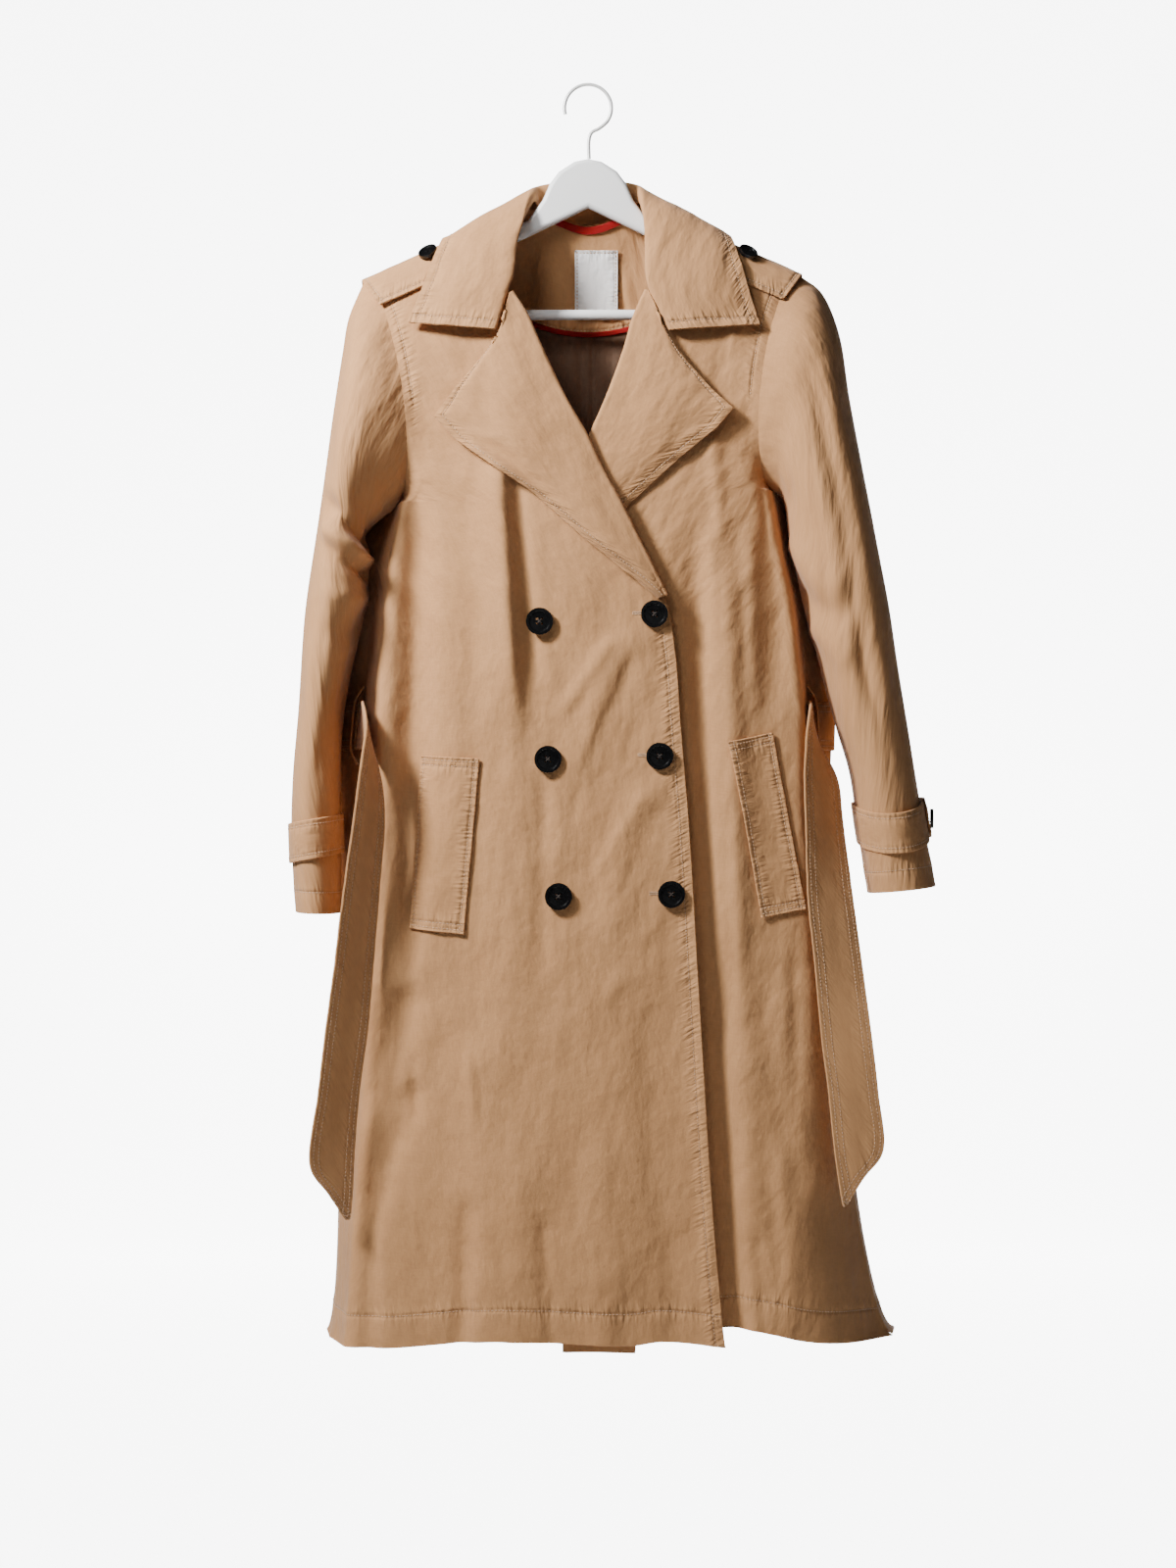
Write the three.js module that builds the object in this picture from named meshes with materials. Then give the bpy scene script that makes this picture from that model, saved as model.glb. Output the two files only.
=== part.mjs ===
// A double-breasted trench coat on a wooden hanger, in millimetres, with +Z up.
// The front faces -Y. Left is -X and right is +X, as the viewer sees the coat.
// The origin is the inside top of the hanger's hook. Each piece of cloth is a thin wall.
import * as THREE from 'three';

// Sizes

const SEAM_GAP = 0.3;
const CLOTH = 1.2;
const LAYERED = 2;
const BELT = { thick: 2.4, top: -597, bottom: -643, lift: 1.1 };
const UNDERARM_ROWS = 8;
const SKIRT_ROWS = 10;
const ROLL = 4;
const BREAK_Z = -500;
const CENTRE_BACK = 6;
const VENT_TOP = -860;
const HEM = { front: -1206, back: -1214 };

// Each side of the body. tip and neck are the ends of the shoulder seam, low is the underarm.
// frontIn and backIn say how far the armhole bends towards the chest, front and back how deep it is.
const SIDES = {
  left: {
    sign: -1,
    neck: { x: 58, z: -118 },
    tip: { x: 217.5, z: -190 },
    low: { x: 186, z: -406 },
    frontIn: 24,
    backIn: 12,
    front: 42,
    back: 34,
  },
  right: {
    sign: 1,
    neck: { x: 54, z: -118 },
    tip: { x: 206, z: -184 },
    low: { x: 181, z: -394 },
    frontIn: 28,
    backIn: 12,
    front: 42,
    back: 34,
  },
};

// How far the cloth hangs out from the hanger's plane, at each drop below the shoulder seam
const HANG = [
  { drop: 0, front: 0, back: 0 },
  { drop: 5, front: 10, back: 9 },
  { drop: 20, front: 19, back: 16 },
  { drop: 44, front: 28, back: 23 },
  { drop: 74, front: 35, back: 28 },
  { drop: 107, front: 40, back: 32 },
  { drop: 250, front: 47, back: 42 },
  { drop: 400, front: 53, back: 50 },
  { drop: 600, front: 59, back: 56 },
  { drop: 800, front: 66, back: 61 },
  { drop: 1020, front: 78, back: 70 },
];

// Below the underarm: where the front turns the corner, the side seam and where the back turns
const FLANKS = {
  left: [
    { z: -406, corner: 179, seam: 186, back: 190, soft: 8 },
    { z: -440, corner: 183, seam: 202, back: 211, soft: 9 },
    { z: -490, corner: 189, seam: 209, back: 223, soft: 9 },
    { z: -535, corner: 194, seam: 213, back: 231, soft: 9 },
    { z: -583, corner: 198, seam: 216, back: 237, soft: 9 },
    { z: -640, corner: 199, seam: 221, back: 243, soft: 9 },
    { z: -800, corner: 205, seam: 230, back: 245, soft: 11 },
    { z: -920, corner: 212, seam: 236, back: 246, soft: 12 },
    { z: -1085, corner: 225, seam: 243, back: 249, soft: 12 },
    { z: -1210, corner: 230, seam: 251, back: 259, soft: 12 },
  ],
  right: [
    { z: -394, corner: 174, seam: 182, back: 188, soft: 8 },
    { z: -452, corner: 184, seam: 193, back: 206, soft: 9 },
    { z: -504, corner: 194, seam: 204, back: 219, soft: 9 },
    { z: -555, corner: 200, seam: 210, back: 230, soft: 9 },
    { z: -605, corner: 206, seam: 213, back: 234, soft: 9 },
    { z: -660, corner: 206, seam: 216, back: 234, soft: 9 },
    { z: -770, corner: 213, seam: 224, back: 237, soft: 12 },
    { z: -863, corner: 220, seam: 235, back: 246, soft: 16 },
    { z: -955, corner: 225, seam: 249, back: 259, soft: 22 },
    { z: -1058, corner: 229, seam: 267, back: 275, soft: 36 },
    { z: -1210, corner: 234, seam: 296, back: 305, soft: 48 },
  ],
};

// The free edge of each front: down the neck, the roll line, then the front edge to the hem
const FREE_EDGES = {
  left: [
    { z: -118, x: -58 },
    { z: -135, x: -68 },
    { z: -160, x: -73 },
    { z: -188, x: -76 },
    { z: -212, x: -75.5 },
    { z: -258, x: -52.5 },
    { z: -309, x: -28.5 },
    { z: -343, x: -9.5 },
    { z: -378, x: 7.5 },
    { z: -413, x: 26 },
    { z: -460, x: 48.5 },
    { z: -500, x: 72.5 },
    { z: -550, x: 82.5 },
    { z: -621, x: 88 },
    { z: -706, x: 95.5 },
    { z: -816, x: 103 },
    { z: -1010, x: 117 },
    { z: -1109, x: 125 },
    { z: -1206, x: 130 },
  ],
  right: [
    { z: -118, x: 54 },
    { z: -135, x: 60 },
    { z: -160, x: 62 },
    { z: -200, x: 62 },
    { z: -231, x: 48.5 },
    { z: -277, x: 34 },
    { z: -320, x: 17 },
    { z: -342, x: 7 },
    { z: -403, x: -17 },
    { z: -452, x: -37 },
    { z: -500, x: -58 },
    { z: -530, x: -63 },
    { z: -770, x: -70 },
    { z: -955, x: -82 },
    { z: -1190, x: -92 },
  ],
};

// The lapping front stands this far off the other one
const LAP = [
  { z: -118, gap: 0 },
  { z: -200, gap: 4 },
  { z: -300, gap: 9 },
  { z: -420, gap: 10 },
  { z: -500, gap: 9 },
  { z: -580, gap: 7 },
  { z: -1206, gap: 7 },
];

// Hanging folds of the fronts: two ends, how wide on each side, and height towards the viewer
const FOLDS = {
  left: [
    { x0: -168, z0: -340, x1: -172, z1: -900, inner: 12, outer: 14, height: -9 },
    { x0: -86, z0: -330, x1: -68, z1: -660, inner: 11, outer: 34, height: 8 },
    { x0: -170, z0: -860, x1: -214, z1: -1010, inner: 20, outer: 16, height: -9 },
    { x0: -160, z0: -950, x1: -216, z1: -1110, inner: 14, outer: 22, height: -6 },
    { x0: 40, z0: -520, x1: -20, z1: -700, inner: 20, outer: 16, height: 4 },
    { x0: 62, z0: -660, x1: 10, z1: -860, inner: 20, outer: 16, height: 4 },
    { x0: -110, z0: -900, x1: -100, z1: -1206, inner: 26, outer: 20, height: 6 },
    { x0: 60, z0: -850, x1: 84, z1: -1206, inner: 24, outer: 34, height: -5 },
  ],
  right: [
    { x0: 118, z0: -400, x1: 132, z1: -900, inner: 10, outer: 30, height: 6 },
    { x0: 172, z0: -260, x1: 184, z1: -620, inner: 14, outer: 12, height: -5 },
    { x0: 140, z0: -900, x1: 160, z1: -1206, inner: 12, outer: 34, height: 6 },
    { x0: 190, z0: -820, x1: 214, z1: -1206, inner: 18, outer: 18, height: 4 },
  ],
};

// The front hem's height along its width
const HEM_LINES = {
  left: [
    { x: -256, z: -1212 },
    { x: -231, z: -1210 },
    { x: -187, z: -1210 },
    { x: -117, z: -1204 },
    { x: -79, z: -1202 },
    { x: 40, z: -1206 },
    { x: 70, z: -1203 },
    { x: 130, z: -1208 },
  ],
  right: [
    { x: -92, z: -1186 },
    { x: 130, z: -1190 },
    { x: 172, z: -1196 },
    { x: 205, z: -1204 },
    { x: 240, z: -1208 },
    { x: 300, z: -1210 },
  ],
};

// Sleeve rings under the armhole: the outer and the inner point, the half depth, its middle and
// how far the front bends towards the chest
const SLEEVES = {
  left: [
    { outX: 231.8, outZ: -225, inX: 190, inZ: -412, deep: 54, y: -2, bend: 15 },
    { outX: 237.5, outZ: -258, inX: 203, inZ: -422, deep: 61, y: -4, bend: 8 },
    { outX: 246, outZ: -315, inX: 215, inZ: -437, deep: 65, y: -7, bend: 3 },
    { outX: 253.6, outZ: -372, inX: 211, inZ: -452, deep: 66, y: -9, bend: 0 },
    { outX: 260, outZ: -420, inX: 212, inZ: -478, deep: 65, y: -10, bend: 0 },
    { outX: 268.8, outZ: -486, inX: 217.5, inZ: -520, deep: 63, y: -12, bend: 0 },
    { outX: 274.6, outZ: -543, inX: 228, inZ: -565, deep: 61, y: -12, bend: 0 },
    { outX: 279.3, outZ: -610, inX: 237.5, inZ: -622, deep: 58, y: -12, bend: 0 },
    { outX: 285, outZ: -676, inX: 239.4, inZ: -680, deep: 55, y: -12, bend: 0 },
    { outX: 286, outZ: -730, inX: 238.4, inZ: -732, deep: 53, y: -12, bend: 0 },
    { outX: 282, outZ: -799, inX: 238, inZ: -800, deep: 51, y: -12, bend: 0 },
  ],
  right: [
    { outX: 228, outZ: -203, inX: 191, inZ: -399, deep: 54, y: -2, bend: 18 },
    { outX: 244, outZ: -244, inX: 192, inZ: -414, deep: 61, y: -4, bend: 10 },
    { outX: 252.7, outZ: -301, inX: 194, inZ: -439, deep: 65, y: -6, bend: 4 },
    { outX: 264, outZ: -363, inX: 201, inZ: -472, deep: 66, y: -8, bend: 0 },
    { outX: 274.6, outZ: -420, inX: 210, inZ: -513, deep: 65, y: -10, bend: 0 },
    { outX: 286, outZ: -486, inX: 219.4, inZ: -545, deep: 63, y: -12, bend: 0 },
    { outX: 295.4, outZ: -545, inX: 229, inZ: -584, deep: 61, y: -12, bend: 0 },
    { outX: 305, outZ: -602, inX: 240, inZ: -622, deep: 58, y: -12, bend: 0 },
    { outX: 314.4, outZ: -659, inX: 252.7, inZ: -665, deep: 55, y: -12, bend: 0 },
    { outX: 324, outZ: -716, inX: 260, inZ: -718, deep: 53, y: -12, bend: 0 },
    { outX: 335.3, outZ: -774, inX: 269.8, inZ: -781, deep: 51, y: -12, bend: 0 },
  ],
};

// Lapels, from the gorge down to the break: the roll line and the free edge beside it
const LAPELS = {
  left: [
    { rollX: -71, rollZ: -205, edgeX: -83, edgeZ: -241, lift: 7 },
    { rollX: -66, rollZ: -213, edgeX: -91.5, edgeZ: -256, lift: 8 },
    { rollX: -58, rollZ: -226, edgeX: -103.6, edgeZ: -271.5, lift: 9 },
    { rollX: -44, rollZ: -258, edgeX: -126.8, edgeZ: -298, lift: 10 },
    { rollX: -20, rollZ: -309, edgeX: -146.3, edgeZ: -326, lift: 11 },
    { rollX: -1, rollZ: -342, edgeX: -126.7, edgeZ: -347.5, lift: 9 },
    { rollX: 16, rollZ: -378, edgeX: -91.3, edgeZ: -373.6, lift: 7 },
    { rollX: 32, rollZ: -407, edgeX: -50, edgeZ: -402, lift: 6 },
    { rollX: 48, rollZ: -440, edgeX: 0, edgeZ: -446, lift: 6 },
    { rollX: 65, rollZ: -474, edgeX: 46.5, edgeZ: -483, lift: 6 },
    { rollX: 76, rollZ: -496, edgeX: 66, edgeZ: -500, lift: 6 },
  ],
  right: [
    { rollX: 54, rollZ: -203, edgeX: 74, edgeZ: -241, lift: 7 },
    { rollX: 49, rollZ: -214, edgeX: 84, edgeZ: -257, lift: 8 },
    { rollX: 42, rollZ: -231, edgeX: 94, edgeZ: -273, lift: 9 },
    { rollX: 33, rollZ: -262, edgeX: 118, edgeZ: -299, lift: 10 },
    { rollX: 20, rollZ: -298, edgeX: 138, edgeZ: -318, lift: 11 },
    { rollX: 11, rollZ: -320, edgeX: 123, edgeZ: -336, lift: 9 },
    { rollX: 1, rollZ: -342, edgeX: 97, edgeZ: -357, lift: 7 },
    { rollX: -9, rollZ: -368, edgeX: 73, edgeZ: -378, lift: 5 },
    { rollX: -22, rollZ: -400, edgeX: 37, edgeZ: -412, lift: 3 },
    { rollX: -40, rollZ: -445, edgeX: -8, edgeZ: -452, lift: 3 },
    { rollX: -57, rollZ: -488, edgeX: -46, edgeZ: -490, lift: 3 },
  ],
};

// Collar stations from the front end of each side to the back of the neck. fold is the visible
// bend, edge the outer edge, face the compass way that the fall looks and rise the stand's slope.
const COLLAR = {
  left: [
    { fold: [-87, -52, -243], edge: [-172, -43, -234.5], face: -90, rise: 0, stand: 3, full: 3 },
    { fold: [-82, -49, -226], edge: [-165, -40, -217], face: -90, rise: 0, stand: 3, full: 4 },
    { fold: [-77, -46, -207], edge: [-158.5, -37, -200], face: -90, rise: 0, stand: 3, full: 4 },
    { fold: [-71, -40, -188], edge: [-152, -30, -180], face: -90, rise: 0, stand: 3, full: 5 },
    { fold: [-68, -31, -158], edge: [-145.6, -22, -161], face: -95, rise: 5, stand: 4, full: 5 },
    { fold: [-63, -24, -137], edge: [-141, -10, -149], face: -120, rise: 35, stand: 6, full: 5 },
    { fold: [-58, -11, -113], edge: [-139, 4, -146], face: -150, rise: 65, stand: 9, full: 5 },
    { fold: [-54, 0, -100], edge: [-134, 15, -154], face: 180, rise: 85, stand: 11, full: 5 },
    { fold: [-49, 13, -95], edge: [-118, 27, -167], face: 155, rise: 90, stand: 22, full: 4 },
    { fold: [-38, 19, -91], edge: [-84, 34, -176], face: 120, rise: 90, stand: 34, full: 3 },
    { fold: [-19, 23, -88.5], edge: [-42, 37, -180], face: 100, rise: 90, stand: 40, full: 3 },
  ],
  middle: [
    { fold: [0, 24, -88], edge: [0, 38, -181], face: 90, rise: 90, stand: 42, full: 3 },
  ],
  right: [
    { fold: [77, -47, -243], edge: [164.5, -41, -236.5], face: -90, rise: 0, stand: 3, full: 3 },
    { fold: [68, -45, -226], edge: [160, -37, -222], face: -90, rise: 0, stand: 3, full: 4 },
    { fold: [59, -42, -206], edge: [155.6, -37, -208], face: -90, rise: 0, stand: 3, full: 4 },
    { fold: [55, -38, -188], edge: [151, -34, -190], face: -90, rise: 0, stand: 3, full: 5 },
    { fold: [54.5, -30, -158], edge: [146, -27, -171], face: -95, rise: 5, stand: 4, full: 5 },
    { fold: [54, -23, -137], edge: [141, -14, -151], face: -120, rise: 35, stand: 6, full: 5 },
    { fold: [53, -11, -114], edge: [138, 3, -143], face: -150, rise: 65, stand: 9, full: 5 },
    { fold: [52, 0, -101], edge: [132, 15, -149], face: 180, rise: 85, stand: 11, full: 5 },
    { fold: [48, 13, -94], edge: [117, 27, -162], face: 155, rise: 90, stand: 22, full: 4 },
    { fold: [38, 19, -90], edge: [84, 34, -174], face: 120, rise: 90, stand: 34, full: 3 },
    { fold: [19, 23, -88.5], edge: [42, 37, -180], face: 100, rise: 90, stand: 40, full: 3 },
  ],
};
const COLLAR_BEND = 3;

const EPAULET = {
  thick: 2.4,
  inEnd: 141,
  drops: [-4, -1.5, 0, 1.5, 5, 10, 17, 26, 35],
  slant: 19,
  button: { x: 152, drop: 7 },
};

const POCKETS = {
  left: { top: [-157.4, -650, -103.3, -653], foot: [-169.3, -814, -118.1, -818.6] },
  right: { top: [134.2, -637, 175.3, -628], foot: [164.8, -803, 206.8, -795] },
};

const BUTTONS = {
  radius: 12.8,
  thick: 4,
  smallRadius: 9.5,
  rows: [
    { leftX: -46, rightX: 63, leftZ: -522, rightZ: -515 },
    { leftX: -38, rightX: 68, leftZ: -653, rightZ: -650 },
    { leftX: -28, rightX: 79, leftZ: -783, rightZ: -781 },
  ],
};

const CUFF_STRAPS = {
  left: { outerTop: -717, innerTop: -705, sag: 0, height: 37, start: -60 },
  right: { outerTop: -692, innerTop: -694, sag: 12, height: 37, start: -8 },
};

// The free ends of the belt: its two edges from the side seam down to the point
const BELT_ENDS = {
  left: [
    { nearX: -220, nearY: -1.5, nearZ: -597, farX: -223.8, farY: -1.5, farZ: -643 },
    { nearX: -217, nearY: -20, nearZ: -597, farX: -219.5, farY: -16, farZ: -643 },
    { nearX: -214, nearY: -55, nearZ: -600, farX: -212, farY: -38, farZ: -643 },
    { nearX: -209, nearY: -84, nearZ: -622, farX: -202, farY: -53, farZ: -655 },
    { nearX: -213, nearY: -97, nearZ: -660, farX: -196, farY: -58, farZ: -680 },
    { nearX: -220, nearY: -95, nearZ: -709, farX: -194, farY: -59, farZ: -715 },
    { nearX: -230, nearY: -93, nearZ: -780, farX: -199, farY: -60, farZ: -783 },
    { nearX: -238, nearY: -93, nearZ: -846, farX: -204, farY: -63, farZ: -848 },
    { nearX: -246, nearY: -94, nearZ: -906, farX: -209, farY: -67, farZ: -908 },
    { nearX: -253, nearY: -97, nearZ: -967, farX: -217, farY: -69, farZ: -969 },
    { nearX: -260, nearY: -99, nearZ: -1036, farX: -222, farY: -73, farZ: -1038 },
    { nearX: -244, nearY: -90, nearZ: -1062, farX: -223, farY: -75, farZ: -1064 },
    { nearX: -229, nearY: -80, nearZ: -1087, farX: -225, farY: -78, farZ: -1087 },
  ],
  right: [
    { nearX: 215.2, nearY: -1.5, nearZ: -597, farX: 218.3, farY: -1.5, farZ: -643 },
    { nearX: 214, nearY: -22, nearZ: -597, farX: 217.5, farY: -12, farZ: -643 },
    { nearX: 212, nearY: -46, nearZ: -604, farX: 223, farY: -18, farZ: -646 },
    { nearX: 208, nearY: -56, nearZ: -630, farX: 232, farY: -22, farZ: -656 },
    { nearX: 206, nearY: -58, nearZ: -667, farX: 240, farY: -26, farZ: -675 },
    { nearX: 207, nearY: -60, nearZ: -715, farX: 244.5, farY: -32, farZ: -717 },
    { nearX: 209, nearY: -63, nearZ: -785, farX: 253, farY: -43, farZ: -787 },
    { nearX: 215, nearY: -66, nearZ: -845, farX: 260.5, farY: -50, farZ: -846 },
    { nearX: 222, nearY: -69, nearZ: -920, farX: 269.5, farY: -62, farZ: -921 },
    { nearX: 228, nearY: -72, nearZ: -968, farX: 275, farY: -64, farZ: -970 },
    { nearX: 233, nearY: -75, nearZ: -1020, farX: 279, farY: -67, farZ: -1025 },
    { nearX: 237, nearY: -76, nearZ: -1050, farX: 260, farY: -72, farZ: -1050 },
    { nearX: 241, nearY: -77, nearZ: -1075, farX: 244, farY: -76, farZ: -1075 },
  ],
};
const BELT_LOOP = { top: -583, bottom: -657, width: 10, thick: 1.6 };

// What the neck shows of the inside
const NECK = { dip: 15, behind: 14, facing: -236, facingRise: 8, lining: -372, half: 84 };
const LABEL = { left: -12.5, right: 28.8, top: -157, bottom: -222 };

const HANGER = {
  thick: 12,
  bevel: 4,
  bar: { z: -221.7, radius: 5, half: 196.4 },
  hook: { wire: 1.7, radius: 22.8, stemX: 1 },
};
// The board's outline on one side of the middle: over the arm, round its end and back under it
const HANGER_TOP = [
  { x: 0, z: -71 },
  { x: 13, z: -73.5 },
  { x: 28, z: -83 },
  { x: 37, z: -95 },
  { x: 44, z: -111 },
  { x: 58, z: -130.5 },
  { x: 100, z: -146.5 },
  { x: 150, z: -167 },
  { x: 200, z: -187.6 },
  { x: 210, z: -193 },
];
const HANGER_FOOT = [
  { x: 214, z: -199 },
  { x: 214, z: -224 },
  { x: 210, z: -231 },
  { x: 198, z: -231 },
  { x: 197, z: -214 },
  { x: 188, z: -203 },
  { x: 150, z: -186 },
  { x: 100, z: -164 },
  { x: 60, z: -147 },
];

const FINISHES = {
  twill: { color: '#bb9470', roughness: 0.9, metalness: 0 },
  lining: { color: '#8a6f5c', roughness: 0.7, metalness: 0 },
  red: { color: '#a8211b', roughness: 0.7, metalness: 0 },
  label: { color: '#f3f0ea', roughness: 0.8, metalness: 0 },
  button: { color: '#121113', roughness: 0.35, metalness: 0 },
  wood: { color: '#f4f3f0', roughness: 0.45, metalness: 0 },
  wire: { color: '#e6e5e2', roughness: 0.3, metalness: 0.2 },
};

// Small tools

const coat = new THREE.Group();
const point = (x, y, z) => new THREE.Vector3(x, y, z);
const mix = THREE.MathUtils.lerp;
const ease = (t) => THREE.MathUtils.smoothstep(t, 0, 1);
const steps = (count) => Array.from({ length: count + 1 }, (_, i) => i / count);

// Reads a named column of a table anywhere along its key, as a smooth curve through the rows
function column(rows, key, name) {
  const sorted = [...rows].sort((a, b) => a[key] - b[key]);
  const slopes = sorted.map((row, i) => {
    const before = sorted[Math.max(i - 1, 0)];
    const after = sorted[Math.min(i + 1, sorted.length - 1)];
    return (after[name] - before[name]) / (after[key] - before[key]);
  });
  return (at) => {
    const last = sorted.length - 1;
    if (at <= sorted[0][key]) return sorted[0][name];
    if (at >= sorted[last][key]) return sorted[last][name];
    const i = sorted.findIndex((row) => row[key] > at) - 1;
    const span = sorted[i + 1][key] - sorted[i][key];
    const t = (at - sorted[i][key]) / span;
    const start = sorted[i][name];
    const end = sorted[i + 1][name];
    const rise = end - start;
    const out = slopes[i] * span;
    const into = slopes[i + 1] * span;
    return start + t * (out + t * (3 * rise - 2 * out - into + t * (out + into - 2 * rise)));
  };
}

// A sheet of cloth: rows of points on its outer face, with a normal at each
class Sheet {
  constructor(points, outward) {
    this.points = points;
    this.normals = points.map((row) => row.map(() => new THREE.Vector3()));
    for (let r = 0; r + 1 < points.length; r += 1) {
      for (let c = 0; c + 1 < points[0].length; c += 1) {
        const across = points[r + 1][c + 1].clone().sub(points[r][c]);
        const other = points[r + 1][c].clone().sub(points[r][c + 1]);
        const normal = across.cross(other);
        [[r, c], [r, c + 1], [r + 1, c], [r + 1, c + 1]].forEach(([i, j]) => this.normals[i][j].add(normal));
      }
    }
    const middle = this.normals[points.length >> 1][points[0].length >> 1];
    const turn = middle.dot(outward) < 0 ? -1 : 1;
    this.normals.forEach((row) => row.forEach((n) => n.multiplyScalar(turn).normalize()));
  }

  // Lists the row and column numbers along one edge
  edge(name) {
    const lastRow = this.points.length - 1;
    const lastColumn = this.points[0].length - 1;
    if (name === 'top') return this.points[0].map((_, c) => [0, c]);
    if (name === 'bottom') return this.points[0].map((_, c) => [lastRow, c]);
    return this.points.map((_, r) => [r, name === 'first' ? 0 : lastColumn]);
  }

  // Draws an edge back from its seam, by half the gap between two pieces
  trim(name, places = this.edge(name), amount = SEAM_GAP / 2) {
    const step = { top: [1, 0], bottom: [-1, 0], first: [0, 1], last: [0, -1] }[name];
    places.forEach(([r, c]) => {
      const from = this.points[r][c];
      const towards = this.points[r + step[0]][c + step[1]].clone().sub(from);
      from.addScaledVector(towards.normalize(), amount);
    });
    return this;
  }

  // How far towards -Y the sheet's own flat faces reach over a place
  frontAt(x, z) {
    let found = Infinity;
    for (let r = 0; r + 1 < this.points.length; r += 1) {
      for (let c = 0; c + 1 < this.points[0].length; c += 1) {
        const [a, b] = [this.points[r][c], this.points[r + 1][c + 1]];
        [this.points[r + 1][c], this.points[r][c + 1]].forEach((third) => {
          const y = heightOver(a, b, third, x, z);
          found = Math.min(found, y);
        });
      }
    }
    return found;
  }

  // The solid between two distances outside the sheet's face; a negative one lies under it
  wall(outer, inner) {
    const rows = this.points.length;
    const columns = this.points[0].length;
    const positions = [];
    [outer, inner].forEach((distance) => {
      this.points.forEach((row, r) => row.forEach((p, c) => {
        positions.push(...p.clone().addScaledVector(this.normals[r][c], distance).toArray());
      }));
    });
    const index = [];
    const quad = (a, b, c, d) => index.push(a, b, c, a, c, d);
    const under = rows * columns;
    for (let r = 0; r + 1 < rows; r += 1) {
      for (let c = 0; c + 1 < columns; c += 1) {
        const a = r * columns + c;
        quad(a, a + columns, a + columns + 1, a + 1);
        quad(under + a, under + a + 1, under + a + columns + 1, under + a + columns);
      }
    }
    const rim = [
      ...steps(columns - 1).slice(0, -1).map((_, c) => [c, c + 1]),
      ...steps(rows - 1).slice(0, -1).map((_, r) => [(r + 1) * columns - 1, (r + 2) * columns - 1]),
      ...steps(columns - 1).slice(0, -1).map((_, c) => [under - 1 - c, under - 2 - c]),
      ...steps(rows - 1).slice(0, -1).map((_, r) => [under - columns * (r + 1), under - columns * (r + 2)]),
    ];
    rim.forEach(([a, b]) => quad(a, b, under + b, under + a));
    return solidOf(positions, index);
  }
}

// The y of a triangle over a place, or Infinity beside it
function heightOver(a, b, c, x, z) {
  const area = (b.x - a.x) * (c.z - a.z) - (c.x - a.x) * (b.z - a.z);
  if (Math.abs(area) < 1e-6) return Infinity;
  const u = ((x - a.x) * (c.z - a.z) - (c.x - a.x) * (z - a.z)) / area;
  const v = ((b.x - a.x) * (z - a.z) - (x - a.x) * (b.z - a.z)) / area;
  if (u < 0 || v < 0 || u + v > 1) return Infinity;
  return a.y + u * (b.y - a.y) + v * (c.y - a.y);
}

// Makes a geometry whose faces look out, whichever way round its sheet was written
function solidOf(positions, index) {
  const geometry = new THREE.BufferGeometry();
  geometry.setAttribute('position', new THREE.Float32BufferAttribute(positions, 3));
  let volume = 0;
  const corner = (i) => point(...positions.slice(index[i] * 3, index[i] * 3 + 3));
  for (let i = 0; i < index.length; i += 3) {
    volume += corner(i).dot(corner(i + 1).cross(corner(i + 2)));
  }
  if (volume < 0) {
    for (let i = 0; i < index.length; i += 3) [index[i], index[i + 1]] = [index[i + 1], index[i]];
  }
  geometry.setIndex(index);
  geometry.computeVertexNormals();
  return geometry;
}

// Gives two sheets one normal at each point of the seam that they share
function shareNormals(a, placesA, b, placesB) {
  placesA.forEach(([r, c], i) => {
    const [s, d] = placesB[i];
    const sum = a.normals[r][c].clone().add(b.normals[s][d]);
    if (sum.length() < 1.2) return;
    a.normals[r][c].copy(sum.normalize());
    b.normals[s][d].copy(a.normals[r][c]);
  });
}

function addPiece(name, geometry, finish) {
  const mesh = new THREE.Mesh(geometry, new THREE.MeshStandardMaterial(FINISHES[finish]));
  mesh.name = name;
  coat.add(mesh);
  return mesh;
}

// The body

const hangFront = column(HANG, 'drop', 'front');
const hangBack = column(HANG, 'drop', 'back');
const lapGap = column(LAP, 'z', 'gap');

// The height of the shoulder seam over a place across the coat
function shoulderHeight(x) {
  const side = x < 0 ? SIDES.left : SIDES.right;
  const along = (Math.abs(x) - side.neck.x) / (side.tip.x - side.neck.x);
  return mix(side.neck.z, side.tip.z, Math.max(along, 0));
}

// The height of one fold of cloth at a place on the front
function foldHeight(fold, x, z) {
  const along = (z - fold.z0) / (fold.z1 - fold.z0);
  if (along < 0 || along > 1) return 0;
  const away = (x - mix(fold.x0, fold.x1, along)) * Math.sign(fold.x0 || 1);
  const width = away > 0 ? fold.outer : fold.inner;
  const fade = ease(along / 0.18) * (fold.z1 < -1200 ? 1 : ease((1 - along) / 0.3));
  return fold.height * fade * Math.exp(-((away / width) ** 2));
}

// The front's outer face: how far towards -Y the cloth lies
function frontY(sideName, x, z) {
  const drop = shoulderHeight(x) - z;
  const bow = 6 * (x / 200) ** 2 * Math.min(drop / 200, 1);
  const lap = sideName === 'left' ? lapGap(z) * ease((x + 120) / 50) : 0;
  const folds = FOLDS[sideName].reduce((sum, fold) => sum + foldHeight(fold, x, z), 0);
  return -(hangFront(drop) - bow + lap + folds);
}

// The back's outer face. At the neck it stands clear behind the hanger
function backY(x, z) {
  const drop = shoulderHeight(x) - z;
  const pleat = 4 * Math.cos(x / 26) * ease((-z - 420) / 500);
  const neck = NECK.behind * (1 - ease((Math.abs(x) - 54) / 16));
  return Math.max(hangBack(drop), neck) - 6 * (x / 220) ** 2 * Math.min(drop / 200, 1) + pleat;
}

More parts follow.
